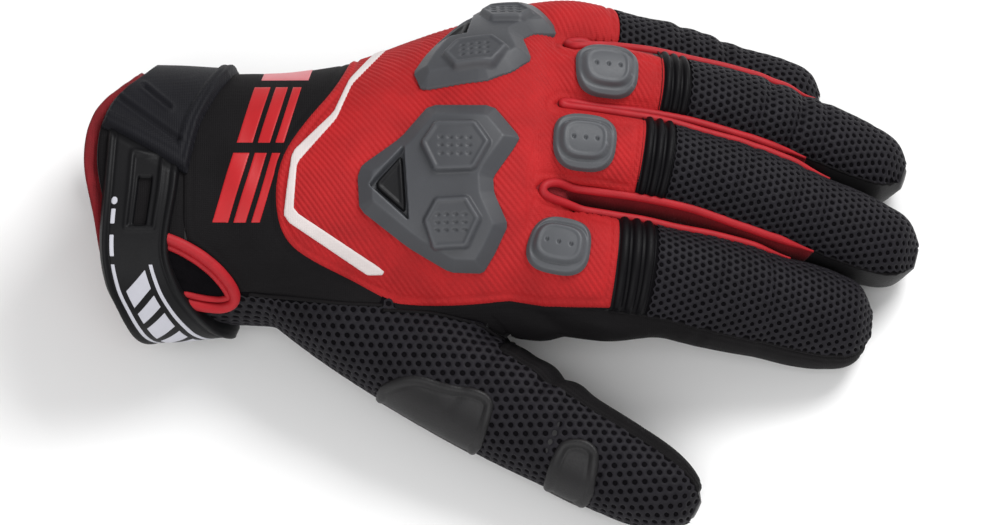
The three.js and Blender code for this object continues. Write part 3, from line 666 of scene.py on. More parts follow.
def roll(name, points, normals, radius, finish, nodes=(), sides=8):
    """A round cord along a line of points."""
    ahead = np.roll(points, -1, axis=0) - np.roll(points, 1, axis=0)
    ahead[0], ahead[-1] = points[1] - points[0], points[-1] - points[-2]
    across = unit(np.cross(normals, ahead))
    turn = np.linspace(0, 2 * math.pi, sides, endpoint=False)
    radius = np.broadcast_to(radius, len(points))[:, None, None]
    rings = points[:, None] + radius * (across[:, None] * np.cos(turn)[:, None]
                                        + normals[:, None] * np.sin(turn)[:, None])
    piece(name, *closed_tube(rings), finish, nodes)


def sample_path(corners, step):
    """Even points along a line through corners."""
    corners = np.array(corners, float)
    length = np.concatenate([[0], np.cumsum(np.linalg.norm(np.diff(corners, axis=0), axis=1))])
    at = np.linspace(0, length[-1], max(int(length[-1] / step), 2) + 1)
    return np.stack([np.interp(at, length, corners[:, k]) for k in range(corners.shape[1])], -1)


# Open mesh: a net of strands round hexagonal holes

HOLE = 0.54  # share of the pitch
CREST = 0.75  # height of a strand
HOLE_SIDES = 12


def net(name, sheet, mask, pitch, finish, nodes):
    rows = np.arange(sheet.u[0], sheet.u[-1], pitch * math.sqrt(3) / 2)
    columns = np.arange(sheet.v[0], sheet.v[-1], pitch)
    i, j = np.meshgrid(np.arange(len(rows)), np.arange(len(columns)), indexing="ij")
    cu, cv = rows[i].ravel(), (columns[j] + (i % 2) * pitch / 2).ravel()
    fits = mask(cu, cv) > 0.15 * pitch
    cu, cv = cu[fits], cv[fits]
    turn = np.radians(30.0 * np.arange(HOLE_SIDES))
    spokes = np.where(np.arange(HOLE_SIDES) % 2 == 0, pitch / 2, pitch / math.sqrt(3))
    # Rings of each cell, from the crest between holes down into the hole
    hole = HOLE * pitch / 2
    radii = [spokes] + [np.full(HOLE_SIDES, hole * share) for share in (1.22, 1, 0.96)]
    heights = np.array([CREST, CREST - 0.08, CREST - 0.28, 0.0])
    ring_u = np.stack([cu[:, None] + r * np.sin(turn) for r in radii], 1)
    ring_v = np.stack([cv[:, None] + r * np.cos(turn) for r in radii], 1)
    h = np.broadcast_to(heights[None, :, None], ring_u.shape)
    margin = np.array([0, 0.2, 0.35, 0.4])[None, :, None]
    delta = 0.2
    for _ in range(2):
        inside = mask(ring_u, ring_v) - margin
        slope_u = (mask(ring_u + delta, ring_v) - margin - inside) / delta
        slope_v = (mask(ring_u, ring_v + delta) - margin - inside) / delta
        steep = np.maximum(slope_u ** 2 + slope_v ** 2, 0.3)
        move = np.where(inside < 0, -inside / steep, 0)
        ring_u, ring_v = ring_u + move * slope_u, ring_v + move * slope_v
    points, normals = sheet.at(ring_u, ring_v)
    points = (points + normals * h[..., None]).reshape(-1, 3)
    cell = np.arange(len(cu))[:, None, None] * HOLE_SIDES * len(radii)
    ring = np.arange(len(radii) - 1)[None, :, None] * HOLE_SIDES
    k = np.arange(HOLE_SIDES)[None, None, :]
    after = (k + 1) % HOLE_SIDES
    faces = np.stack([cell + ring + k, cell + ring + after, cell + ring + HOLE_SIDES + after,
                      cell + ring + HOLE_SIDES + k], -1).reshape(-1, 4)
    keys = np.round(points * 50).astype(np.int64)
    _, first, inverse = np.unique(keys, axis=0, return_index=True, return_inverse=True)
    points, faces = points[first], inverse.ravel()[faces]
    whole = np.array([len(set(f)) for f in faces.tolist()]) == 4
    faces = faces[whole]
    middle = normals.reshape(-1, 3)[0]
    face = faces[0]
    if np.dot(np.cross(points[face[1]] - points[face[0]], points[face[2]] - points[face[0]]), middle) < 0:
        faces = faces[:, ::-1]
    piece(name, points, faces, finish, nodes)


# Finishes

def add_node(tree, kind, settings=None, **inputs):
    node = tree.nodes.new("ShaderNode" + kind)
    for name, value in (settings or {}).items():
        setattr(node, name, value)
    for name, value in inputs.items():
        socket = node.inputs[name.replace("_", " ")]
        if isinstance(value, bpy.types.NodeSocket):
            tree.links.new(value, socket)
        else:
            socket.default_value = value
    return node


def finish_of(name, color, roughness, blotch, blotch_size, grain, thread, specular, painted_edge_highlight=0.0, sheen=0.0):
    """A procedural finish. grain is a kind of texture, its size and its depth; thread is the
    pitch and depth of a fine weave; sizes are millimetres. The number after specular paints
    a highlight on sharp edges by lightening their colour."""
    material = bpy.data.materials.new(name)
    material.use_nodes = True
    tree = material.node_tree
    shader = tree.nodes["Principled BSDF"]
    place = add_node(tree, "TexCoord").outputs["Object"]
    noise = add_node(tree, "TexNoise", Vector=place, Scale=1 / (blotch_size * MM), Detail=4.0, Roughness=0.6)
    dark = tuple(c * (1 - blotch) for c in color) + (1,)
    light = tuple(min(c * (1 + blotch), 1) for c in color) + (1,)
    ramp = add_node(tree, "ValToRGB", Fac=noise.outputs["Fac"])
    for stop, position, shade in zip(ramp.color_ramp.elements, (0.3, 0.7), (dark, light)):
        stop.position = position
        stop.color = shade
    tint = ramp.outputs["Color"]
    fine = add_node(tree, "TexNoise", Vector=place, Scale=1 / (0.5 * MM), Detail=2.0)
    rough = add_node(tree, "MapRange", Value=fine.outputs["Fac"])
    rough.inputs["To Min"].default_value = max(roughness - 0.09, 0.05)
    rough.inputs["To Max"].default_value = min(roughness + 0.09, 1)
    tree.links.new(rough.outputs["Result"], shader.inputs["Roughness"])
    # Painted highlight: sharp convex edges, found by pointiness, are mixed towards a paler copy of the colour.
    if painted_edge_highlight:
        edge = add_node(tree, "NewGeometry").outputs["Pointiness"]
        painted_highlight_ramp = add_node(tree, "MapRange", Value=edge)
        for socket, value in (("From Min", 0.5), ("From Max", 0.6), ("To Max", painted_edge_highlight)):
            painted_highlight_ramp.inputs[socket].default_value = value
        mix = add_node(tree, "Mix", {"data_type": "RGBA"})
        tree.links.new(painted_highlight_ramp.outputs["Result"], mix.inputs[0])
        tree.links.new(tint, mix.inputs[6])
        mix.inputs[7].default_value = tuple(min(c * 2.6 + 0.02, 1) for c in color) + (1,)
        tint = mix.outputs[2]
    tree.links.new(tint, shader.inputs["Base Color"])
    kind, size, depth = grain
    if kind == "cells":
        cells = {"feature": "DISTANCE_TO_EDGE"}
        height = add_node(tree, "TexVoronoi", cells, Vector=place, Scale=1 / (size * MM)).outputs["Distance"]
    else:
        height = add_node(tree, "TexNoise", Vector=place, Scale=1 / (size * MM), Detail=3.0).outputs["Fac"]
    relief = add_node(tree, "Bump", Height=height, Strength=0.7, Distance=depth * MM).outputs["Normal"]
    if thread:
        pitch, depth = thread
        for direction in ("X", "Y"):
            wave = add_node(tree, "TexWave", {"bands_direction": direction}, Vector=place,
                            Scale=0.314 / (pitch * MM), Distortion=0.4)
            bump = add_node(tree, "Bump", Height=wave.outputs["Fac"], Strength=0.6, Distance=depth * MM)
            tree.links.new(relief, bump.inputs["Normal"])
            relief = bump.outputs["Normal"]
    tree.links.new(relief, shader.inputs["Normal"])
    shader.inputs["Sheen Weight"].default_value = sheen
    shader.inputs["Specular IOR Level"].default_value = specular
    return material


# Colour, roughness, blotches and their size, grain, thread, specular, and where needed a painted edge
# highlight and sheen
FINISHES = {
    "red_fabric": ((0.365, 0.0088, 0.0108), 0.72, 0.12, 9, ("noise", 0.35, 0.12), (0.5, 0.05), 0.25),
    "red_lining": ((0.15, 0.0036, 0.007), 0.8, 0.2, 6, ("noise", 0.5, 0.1), (0.7, 0.08), 0.25, 0.0, 0.05),
    "red_piping": ((0.36, 0.008, 0.014), 0.6, 0.1, 5, ("noise", 0.4, 0.08), None, 0.3),
    "red_print": ((0.42, 0.01, 0.014), 0.45, 0.05, 8, ("noise", 0.3, 0.04), None, 0.3),
    "pink_print": ((0.55, 0.16, 0.18), 0.45, 0.05, 8, ("noise", 0.3, 0.04), None, 0.3),
    "white_print": ((0.48, 0.48, 0.53), 0.45, 0.04, 8, ("noise", 0.3, 0.04), None, 0.3),
    "mesh": ((0.0092, 0.0082, 0.011), 0.62, 0.2, 7, ("noise", 0.25, 0.1), None, 0.16),
    "mesh_backing": ((0.003, 0.0026, 0.0034), 0.9, 0.2, 6, ("noise", 0.5, 0.15), None, 0.05),
    "neoprene": ((0.0048, 0.0042, 0.0048), 0.75, 0.15, 10, ("noise", 0.4, 0.06), (0.55, 0.05), 0.12),
    "leather": ((0.0085, 0.008, 0.0088), 0.5, 0.2, 10, ("cells", 0.9, 0.09), None, 0.28),
    "flex": ((0.003, 0.0027, 0.0035), 0.5, 0.1, 10, ("noise", 0.3, 0.05), None, 0.1),
    # The guards and the rubber strap carry a painted highlight on their sharp edges.
    "guard": ((0.045, 0.047, 0.053), 0.5, 0.08, 12, ("noise", 0.28, 0.05), None, 0.4, 0.3),
    "finger_guard": ((0.062, 0.065, 0.072), 0.5, 0.08, 12, ("noise", 0.28, 0.05), None, 0.4, 0.3),
    "guard_insert": ((0.008, 0.008, 0.009), 0.45, 0.1, 8, ("noise", 0.28, 0.04), None, 0.2),
    "flap": ((0.0065, 0.0065, 0.009), 0.6, 0.12, 12, ("noise", 0.4, 0.06), (0.6, 0.05), 0.14),
    "strap_rubber": ((0.0035, 0.0034, 0.0042), 0.5, 0.12, 12, ("noise", 0.3, 0.05), None, 0.16, 0.12),
    "reflective": ((0.61, 0.55, 0.54), 0.4, 0.05, 6, ("noise", 0.3, 0.03), (0.6, 0.03), 0.3),
}
FINISH = {name: finish_of(name, *row) for name, row in FINISHES.items()}


# The shells of the hand, fingers and thumb

SHELL_LIFT = 0.12
SHELL_START = 0.42  # the last share where the shell of a finger may start
THUMB_SHELL_START = 0.45
TAB_OVERLAP = 0.02


def cut_at_rim(points, faces):
    """The skin without its end at the wrist, its open edge on the cuff's rim."""
    rim = rim_x(draft(points)[1]) + LINING_REACH
    outside = points[:, 0] < rim
    faces = faces[~outside[faces].all(1)]
    points = points.copy()
    points[outside, 0] = rim[outside]
    used, faces = np.unique(faces, return_inverse=True)
    return points[used], faces.reshape(-1, 4)


def make_shell(name, start, node):
    """The plain front of a finger or the thumb, from every second column of its rings."""
    limb = limbs[name]
    first = np.searchsorted(limb.shares, start)
    rings = limb.rings[first:, :-1:2] + limb.ring_normals[first:, :-1:2] * SHELL_LIFT
    piece("front_" + name, *closed_tube(rings), "leather", [node])


piece("palm_skin", *cut_at_rim(skin_points, skin_faces), "leather", ["palm"])
for name, finger in FINGERS.items():
    make_shell(name, min(finger["tab_end"] - TAB_OVERLAP, SHELL_START), "finger_front_" + name)
make_shell("thumb", THUMB_SHELL_START, "thumb_front")


# The red back panel with its finger tabs, ribbed on the slant

BACK_OUTLINE = rounded(outline_points([
    (0.06, 0.64), (0.081, 0.5), (-0.004, 0.405), (-0.124, 0.312), (-0.211, 0.228), (-0.243, 0.143),
    (-0.239, 0.052), (-0.203, -0.013), (-0.124, -0.058), (0.061, -0.117), (0.213, -0.164),
    (0.314, -0.189), (0.615, -0.187), (0.8, -0.178), (0.94, -0.173), (1.06, -0.19), (1.25, -0.19),
    (1.25, 0.64)]))
RIB_PITCH = 1.3
RIB_DEPTH = 0.38
RIB_SLANT = 55  # degrees from the length of the hand
CROTCHES = ((-8.2, 14.6, 34.5), (52, 57, 59.7))  # places across the hand, and how far along it
TAB_START = 0.14  # share of a finger
INDEX_TAB_DROP = 16  # degrees that the index finger's tab runs on below its seam

# Slits between the fingers in the draft plane, where their red side walls start
SLITS = [np.array(rows, float) for rows in (
    [(52.1, 12.4), (53.4, 13.8), (58.4, 13.8), (68.9, 12.4), (79.5, 10.3), (84.7, 8.8), (84.7, 2.7),
     (79.5, 3.2), (74.5, 4.4), (63.7, 7.4), (54.5, 10.3)],
    [(57.1, 34.3), (58.4, 35.1), (68.9, 34.3), (81.8, 32.4), (85.8, 31.7), (85.8, 29.5), (82.6, 30.2),
     (68.9, 32.4), (58.9, 33.8)],
    [(59.5, 50.1), (61.6, 50.7), (72.4, 51.1), (79.5, 50), (90, 47.4), (90, 45.9), (79.5, 48.8),
     (72.4, 50.6), (62.4, 49.3)],
)]
LOWER_EDGE = ((45, 54.5, 71), (-17, -18.35, -18.6))  # of the red tab on the index finger: along, up the plane


def in_slits(points):
    places = draft(points)
    return np.max([inside_outline(*places, slit) for slit in SLITS], axis=0)


def finger_tab(name, points):
    """Millimetres inside the red tab on the back of a finger."""
    finger = FINGERS[name]
    flat = points.reshape(-1, 3)
    share = (flat[:, 0] - along(finger["root_along"])) / finger["length"]
    f = finger_frames(name, np.clip(share, 0, 1))
    tangent = np.cross(f["side"], f["normal"])
    share = share + ((flat - f["centre"]) * tangent).sum(-1) / finger["length"]
    f = finger_frames(name, np.clip(share, 0, 1))
    out = flat - f["centre"]
    turn = np.degrees(np.arctan2((out * f["side"]).sum(-1), (out * f["normal"]).sum(-1)))
    low, high = SEAMS[name]
    if name == "index":
        low -= INDEX_TAB_DROP
    across = np.minimum(turn - low, high - turn) * f["half"] * math.pi / 180
    inside = np.minimum(across, np.minimum(finger["tab_end"] - share, share - TAB_START) * finger["length"])
    if name == "index":
        inside = np.minimum(inside, draft(flat)[1] - np.interp(flat[:, 0], *LOWER_EDGE))
    return inside.reshape(points.shape[:-1])


def above_seam(points):
    share = share_along(np.minimum(points[..., 0], PALM_LENGTH))
    rise = read(HAND, "rise", share) - 0.05 * read(HAND, "depth", share)
    return points[..., 2] - rise * HAND_DEPTH


def in_red(points):
    """Millimetres inside the red panel."""
    inside = inside_outline(*draft(points), BACK_OUTLINE)
    inside = np.minimum(inside, np.interp(points[..., 1], *CROTCHES) - points[..., 0])
    inside = np.minimum(inside, above_seam(points))
    for name in FINGERS:
        inside = np.maximum(inside, finger_tab(name, points))
    return np.minimum(inside, -0.2 - in_slits(points))


def make_back_panel():
    slant = math.radians(RIB_SLANT)
    c, s = math.cos(slant), math.sin(slant)
    sample = lambda a, b: back.at(a * c + b * s, -a * s + b * c)
    mask = lambda a, b: in_red(sample(a, b)[0])

    def height(a, b, edge):
        rib = np.abs(np.sin(math.pi * b / RIB_PITCH)) ** 0.7
        channel = bump_at(edge, 2.2, 0.45)
        body = FABRIC * (0.25 + 0.75 * smoothstep(0, 0.7, edge))
        return body + (rib - 0.5) * RIB_DEPTH * smoothstep(0.6, 1.3, edge) * (1 - channel) - 0.3 * channel

    panel("back_fabric", sample, np.arange(-85, 110, 0.62), np.arange(-50, 125, RIB_PITCH / 5), mask, height,
          "red_fabric", ["back_panel"])


make_back_panel()
panel("slit_lining", back.at, np.arange(50, 92, 0.5), np.arange(-30, 60, 0.5),
      lambda u, v: in_slits(back.at(u, v)[0]) + 2.2, cloth(0.15), "red_lining")

# Smooth cloth between the red panel and the thumb, which runs on along the side of the index finger
WEB_OUTLINE = np.array([
    (12, -10.9), (34.7, -10.5), (47.9, -9.7), (71, -11.5), (71, -19), (52, -21.5), (46, -24), (43.4, -26),
    (37.4, -22.5), (26.8, -20.4), (15, -19.6)])


def in_web(points):
    return np.minimum(inside_outline(*draft(points), WEB_OUTLINE), 0.6 - in_red(points))


panel("web_cloth", back.at, np.arange(10, 73, 0.5), np.arange(-60, 0, 0.5),
      lambda u, v: in_web(back.at(u, v)[0]), cloth(0.1, 0.35, 0.9), "neoprene")

# The pale stripe along the panel's edge
STRIPE_OUTLINE = rounded(outline_points([
    (0.255, 0.53), (0.061, 0.418), (-0.012, 0.328), (-0.175, 0.223), (-0.207, 0.047), (0.2125, -0.121),
    (0.243, -0.091), (-0.167, 0.068), (-0.155, 0.194), (0, 0.312), (0.075, 0.405), (0.27, 0.515)]), 2, 0.06)
STRIPE_LIFT = 0.28
panel("stripe_film", back.at, np.arange(-18, 18, 0.33), np.arange(-35, 70, 0.33),
      lambda u, v: inside_outline(*draft(back.at(u, v)[0]), STRIPE_OUTLINE),
      lambda u, v, edge: FABRIC + RIB_DEPTH / 2 + STRIPE_LIFT * smoothstep(-0.2, 0.3, edge),
      "reflective", ["reflective_stripe"], skirt=0.5)


# Hard guards over the knuckles. Their outlines are shares of a guard's length and breadth.

GUARD_OUTLINE = np.array([
    (-0.038, 0.494), (0.345, 0.494), (0.514, 0.298), (0.476, 0.234), (0.351, 0.063), (0.357, -0.032),
    (0.439, -0.222), (0.363, -0.386), (0.288, -0.506), (0.094, -0.5), (-0.175, -0.348),
    (-0.476, -0.127), (-0.489, 0.063), (-0.464, 0.133), (-0.219, 0.298)])
INSERT_OUTLINE = np.array([(-0.407, 0.01), (-0.2, 0.222), (-0.172, -0.18)])
GUARD_PADS = (((0.125, 0.225), (0.22, 0.155)), ((0.104, -0.212), (0.186, 0.16)))  # middle, half
HEXAGON = np.array([(-1, 0.1), (-0.55, 0.95), (0.55, 1), (1, 0.15), (0.55, -0.95), (-0.6, -1)])
# The guard of the ring and little fingers leans: its lower lobe reaches back, its upper one ahead
LEANING_OUTLINE = np.array([
    (-0.443, -0.5), (0.014, -0.5), (0.2, -0.41), (0.327, -0.276), (0.268, -0.066), (0.35, 0.04),
    (0.5, 0.132), (0.486, 0.237), (0.324, 0.474), (0, 0.474), (-0.16, 0.24), (-0.257, 0.053),
    (-0.414, -0.184), (-0.495, -0.342)])
LEANING_INSERT = np.array([(-0.315, -0.08), (-0.12, -0.06), (-0.06, 0.3)])
LEANING_PADS = (((-0.054, -0.29), (0.235, 0.145)), ((0.16, 0.2), (0.19, 0.14)))
KNUCKLE_GUARDS = {
    "index_middle": dict(middle=(0.501, 0.126), tilt=27, size=1, outline=GUARD_OUTLINE,
                         insert=INSERT_OUTLINE, pads=GUARD_PADS),
    "ring_little": dict(middle=(0.739, 0.01), tilt=-38, size=0.88, outline=LEANING_OUTLINE,
                        insert=LEANING_INSERT, pads=LEANING_PADS),
}
GUARD_BED = FABRIC - 0.1
GUARD_EDGE = 1.0  # height of a guard's upright edge
GUARD_CROWN = 0.9  # how far its middle stands over its thickness
GUARD_CHAMFER = 3.7
GUARD_REACH = 24


def ramp(value, width):
    """Rises from 0 to 1 over a width, with soft ends."""
    t = np.clip(value / width, 0, 1)
    return 0.75 * t + 0.25 * t * t * (3 - 2 * t)


def flat_sheet(middle, tilt):
    """The skin seen square to a tilted plane, around a point of that plane, without its dents."""
    up, out = leaning_axes(tilt)
    reach, far, rounds = GUARD_REACH + 2, 120.0, 30
    a = np.arange(-reach, reach, SHEET_STEP)
    ga, gb = np.meshgrid(a, a, indexing="ij")
    flat = (middle[0] + ga)[..., None] * np.array([1.0, 0, 0]) + (middle[1] + gb)[..., None] * up
    hits = ray_hits(flat + out * far, np.broadcast_to(-out, flat.shape), far + 10)
    depth = hits @ out
    depth = np.where(np.isnan(depth), np.nanmin(depth), depth)
    for _ in range(rounds):
        padded = np.pad(depth, 1, mode="edge")
        depth = (padded[:-2, 1:-1] + padded[2:, 1:-1] + padded[1:-1, :-2] + padded[1:-1, 2:]) / 4
    points = flat + out * depth[..., None]
    return Sheet(points, a, a, points[len(a) // 3, len(a) // 2] - out)


def dots(a, b, rows, columns, pitch_a, pitch_b, radius):
    """Little round marks in rows about a middle, 1 inside each."""
    total = np.zeros(np.shape(a))
    for i in range(columns):
        for j in range(rows):
            x, y = (i - (columns - 1) / 2) * pitch_a, (j - (rows - 1) / 2) * pitch_b
            total = np.maximum(total, 1 - smoothstep(0.55, 1, np.hypot(a - x, b - y) / radius))
    return total


def pad_relief(inner):
    """Height of a raised pad by the millimetres inside its edge: bevel, rim, groove and field."""
    return (GUARD_PAD - 0.3) * ramp(inner, 1.0) - 0.3 * smoothstep(1.5, 2.0, inner)


def make_knuckle_guard(name, middle, tilt, size, outline, insert, pads):
    scale = np.array([GUARD_LENGTH, GUARD_BREADTH]) * size
    outline = rounded(outline * scale, 1, 0.1)
    insert = insert * scale
    base = flat_sheet((along(middle[0]), middle[1] * HAND_BREADTH), tilt)
    reach = np.arange(-GUARD_REACH, GUARD_REACH, 0.3)
    hexagons = [rounded((np.array(mid) + HEXAGON * np.array(half)) * scale, 1, 0.08) for mid, half in pads]

    def height(a, b, edge):
        h = GUARD_BED + GUARD_EDGE
        h = h + (GUARD_THICKNESS - GUARD_EDGE + GUARD_CROWN) * np.clip(edge / GUARD_CHAMFER, 0, 1)
        for (mid, _), hexagon in zip(pads, hexagons):
            inner = inside_outline(a, b, hexagon)
            x, y = a - mid[0] * scale[0], b - mid[1] * scale[1]
            raised = pad_relief(inner) - 0.4 * dots(x * 0.55, y, 3, 4, 1.25 * size, 1.9 * size, 0.42)
            h = h + np.where(inner > 0, raised, 0)
        well = inside_outline(a, b, insert)
        return h - (h - GUARD_BED - 0.7) * smoothstep(-0.4, 0.1, well)

    panel("guard_" + name, base.at, reach, reach, lambda a, b: inside_outline(a, b, outline), height,
          "guard", ["knuckle_guard_" + name], skirt=2.2)
    panel("insert_" + name, base.at, reach, reach,
          lambda a, b: inside_outline(a, b, rounded(insert, 2, 0.12)) - 0.4,
          lambda a, b, edge: GUARD_BED + 1.0 + 1.0 * ramp(edge, 0.5) - 0.4 * smoothstep(1.0, 1.5, edge),
          "guard_insert", ["guard_insert_" + name], skirt=1.6)


for name, guard in KNUCKLE_GUARDS.items():
    make_knuckle_guard(name, **guard)

# Oval guards on the fingers
FINGER_GUARD_PLACES = {"index": (0.2435, 11), "middle": (0.26, -5), "ring": (0.325, -16)}  # share, turn
OVAL_POWER = 2.9
PAD_SHARES = (0.8, 0.62)  # of a guard's length and breadth, taken up by its pad


def oval(a, b, length, breadth):
    """Roughly the millimetres inside a squarish oval."""
    r = (np.abs(2 * a / length) ** OVAL_POWER + np.abs(2 * b / breadth) ** OVAL_POWER) ** (1 / OVAL_POWER)
    return (1 - r) * breadth / 2


def make_finger_guard(name, share, turn):
    length, breadth, thickness, pad_height = FINGER_GUARD
    limb = limbs[name]
    u0 = float(limb.along(share))
    v0 = float(np.interp(turn, limb.values["turn"][int(round(u0 / SHEET_STEP))], limb.v))

    def height(u, v, edge):
        inner = oval(u - u0, v - v0, length * PAD_SHARES[0], breadth * PAD_SHARES[1])
        raised = (pad_height - 0.5) * ramp(inner, 0.8) - 0.2 * smoothstep(1.0, 1.5, inner)
        raised = raised - 0.6 * dots(u - u0, v - v0, 1, 3, 3.1, 1, 0.55)
        h = GUARD_BED + GUARD_EDGE + (thickness - GUARD_EDGE) * ramp(edge, 1.0)
        return h - 0.35 * bump_at(inner, -0.35, 0.3) + np.where(inner > 0, raised, 0)

    panel("guard_" + name, limb.at, np.arange(u0 - 9, u0 + 9, 0.22), np.arange(v0 - 8.5, v0 + 8.5, 0.22),
          lambda u, v: oval(u - u0, v - v0, length, breadth), height,
          "finger_guard", ["finger_guard_" + name], "guard", skirt=2.8)


for name, place in FINGER_GUARD_PLACES.items():
    make_finger_guard(name, *place)


# Fingers: flex bands, open mesh, side strip and red side walls

FRONT_TURN = 121  # degrees from the back to the palmar side seam
NET_PITCH = 2.15
NET_END = 0.992
SEAM_END = 0.985
WALL_START = 0.2
WALL_END = 0.77
SEAM_ROLL = 0.5
WALL_NODES = {"index": ["fourchette_index_middle"], "middle": ["fourchette_middle_ring"],
              "ring": ["fourchette_ring_little"]}


def make_flex(name):
    """Three soft ribs across a finger, between its red tab and its mesh."""
    finger, limb = FINGERS[name], limbs[name]
    low, high = limb.along(finger["tab_end"]), limb.along(finger["flex_end"])
    pitch = (high - low) / 3

    def height(u, v, edge):
        t = ((u - low) / pitch) % 1 * 2 - 1
        rib = np.sqrt(np.clip(1 - (t / 0.72) ** 2, 0, 1))
        fade = smoothstep(0, 2.5, limb.within(u, v, 0, 1, *SEAMS[name]))
        return 0.35 + 0.95 * rib * (0.35 + 0.65 * fade)

    reach = limb.radius.max() * 1.7
    panel("flex_" + name, limb.at, np.arange(low - 1, high + 0.5, 0.2), np.arange(-reach, reach, 0.6),
          lambda u, v: limb.within(u, v, finger["tab_end"] - 0.004, finger["flex_end"], *SEAMS[name]), height,
          "flex", ["flex_panel_" + name], "neoprene")


def make_mesh(name, mask, pitch, nodes, start, reach, step, lift):
    """The open mesh on the back of a finger or the thumb, and the dark cloth behind its holes."""
    limb = limbs[name]
    net("net_" + name, limb, mask, pitch, "mesh", nodes)
    panel("backing_" + name, limb.at, np.arange(start, limb.u[-1], step), np.arange(-reach, reach, step),
          mask, cloth(lift), "mesh_backing", slot="mesh")


def make_finger_mesh(name):
    limb, start = limbs[name], FINGERS[name]["flex_end"]
    make_mesh(name, lambda u, v: limb.within(u, v, start, NET_END, *SEAMS[name]), NET_PITCH,
              ["finger_back_" + name], limb.along(start) - 1, limb.radius.max() * 1.8, 1.1, 0.4)


def limb_path(limb, start, end, turn, step=1.2):
    """Places along a limb at a constant turn."""
    u = np.arange(limb.along(start), limb.along(end), step)
    rows = np.clip(np.round(u / SHEET_STEP).astype(int), 0, len(limb.u) - 1)
    v = np.array([np.interp(turn, limb.values["turn"][row], limb.v) for row in rows])
    return limb.at(u, v)


def make_side_wall(name, side):
    """The red wall between two fingers, on one side of a finger."""
    limb = limbs[name]
    low, high = sorted((SEAMS[name][side > 0], side * FRONT_TURN))
    reach = limb.radius.max() * math.pi

    def mask(u, v):
        inside = limb.within(u, v, WALL_START, WALL_END, low, high)
        return np.minimum(inside, 1.5 - in_red(limb.at(u, v)[0]))

    panel(f"side_wall_{name}_{1 if side < 0 else 2}", limb.at,
          np.arange(limb.along(WALL_START), limb.along(WALL_END) + 1, 0.6), np.arange(-reach, reach, 0.6),
          mask, cloth(0.15, 0.3, 0.8), "red_lining", WALL_NODES.get(name, []) if side > 0 else [])


def seam(name, path, normals, lift):
    """A thin black roll on the skin."""
    roll("seam_" + name, path + normals * lift, normals, SEAM_ROLL, "neoprene")


for name, finger in FINGERS.items():
    if finger["flex_end"] > finger["tab_end"]:
        make_flex(name)
    make_finger_mesh(name)
for name, side in (("index", 1), ("middle", -1), ("middle", 1), ("ring", -1), ("ring", 1), ("little", -1)):
    make_side_wall(name, side)

# Black seams along the outer sides of the fingers, and beyond the red walls
for name in FINGERS:
    for number, (side, turn) in enumerate(zip((-1, 1), SEAMS[name]), 1):
        outer_side = (name, side) in (("index", -1), ("little", 1))
        start = FINGERS[name]["tab_end"] if outer_side else WALL_END - 0.01
        seam(f"{name}_{number}", *limb_path(limbs[name], start, SEAM_END, turn), 0.3)


def softened(points, normals, rounds):
    """A line of points with its kinks taken out."""
    for _ in range(rounds):
        normals[1:-1] = unit(normals[:-2] + normals[1:-1] * 2 + normals[2:])
        points[1:-1] = (points[:-2] + points[1:-1] * 2 + points[2:]) / 4
    return points, normals


def dropped(path):
    """Points of the skin under a line of the draft plane, with soft normals."""
    up, out = leaning_axes(DRAFT_TILT)
    flat = path[:, :1] * np.array([1.0, 0, 0]) + path[:, 1:] * up
    points, normals = [], []
    for place in flat:
        hit, normal, _, _ = skin_tree.ray_cast(Vector(place + out * 120), Vector(-out), 160)
        if hit is not None:
            points.append(hit)
            normals.append(normal)
    return softened(np.array(points), np.array(normals), 6)


# Red piping round each slit: down one finger, round the slit's start and out along the next
SLIT_STARTS = {
    ("index", "middle"): [(58, 13.9), (55, 14), (53, 13.3), (52.1, 12.1), (52.9, 10.9), (55.5, 9.7),
                          (58, 8.9)],
    ("middle", "ring"): [(64, 34.9), (60, 35.2), (57.8, 34.9), (57, 34.3), (58, 33.6), (61, 33.2),
                         (64, 32.9)],
    ("ring", "little"): [(66, 51.5), (62.5, 51.6), (60.4, 51), (59.4, 50.1), (60.6, 49.3), (63, 49.2),
                         (66, 49.6)],
}
PIPING = 1.15
PIPING_LIFT = 0.8
PIPING_REACH = 3  # from the slit's start to where the piping has reached a finger's side
PIPING_TAPER = 14  # points over which its ends thin out


def make_slit_piping(first, second):
    def side_path(name, turn):
        start = SLIT_STARTS[first, second][0][0] + PIPING_REACH - along(FINGERS[name]["root_along"])
        return limb_path(limbs[name], start / FINGERS[name]["length"], WALL_END, turn, 1.0)

    near, near_normals = side_path(first, SEAMS[first][1] - 4)
    far, far_normals = side_path(second, SEAMS[second][0])
    start, start_normals = dropped(sample_path(SLIT_STARTS[first, second], 0.6))
    points = np.concatenate([far[::-1], start, near])
    normals = np.concatenate([far_normals[::-1], start_normals, near_normals])
    even = sample_path(np.concatenate([points, normals], -1), 0.8)
    points, normals = softened(even[:, :3], unit(even[:, 3:]), 10)
    from_end = np.minimum(np.arange(len(points)), np.arange(len(points))[::-1])
    radius = PIPING * (0.3 + 0.7 * smoothstep(0, PIPING_TAPER, from_end))
    roll(f"piping_{first}_{second}", points + normals * PIPING_LIFT, normals, radius, "red_piping", sides=10)


for pair in SLIT_STARTS:
    make_slit_piping(*pair)

STRIP_BULGE = 3.4  # how far the index finger's side swells beside the web
STRIP_START = 0.14


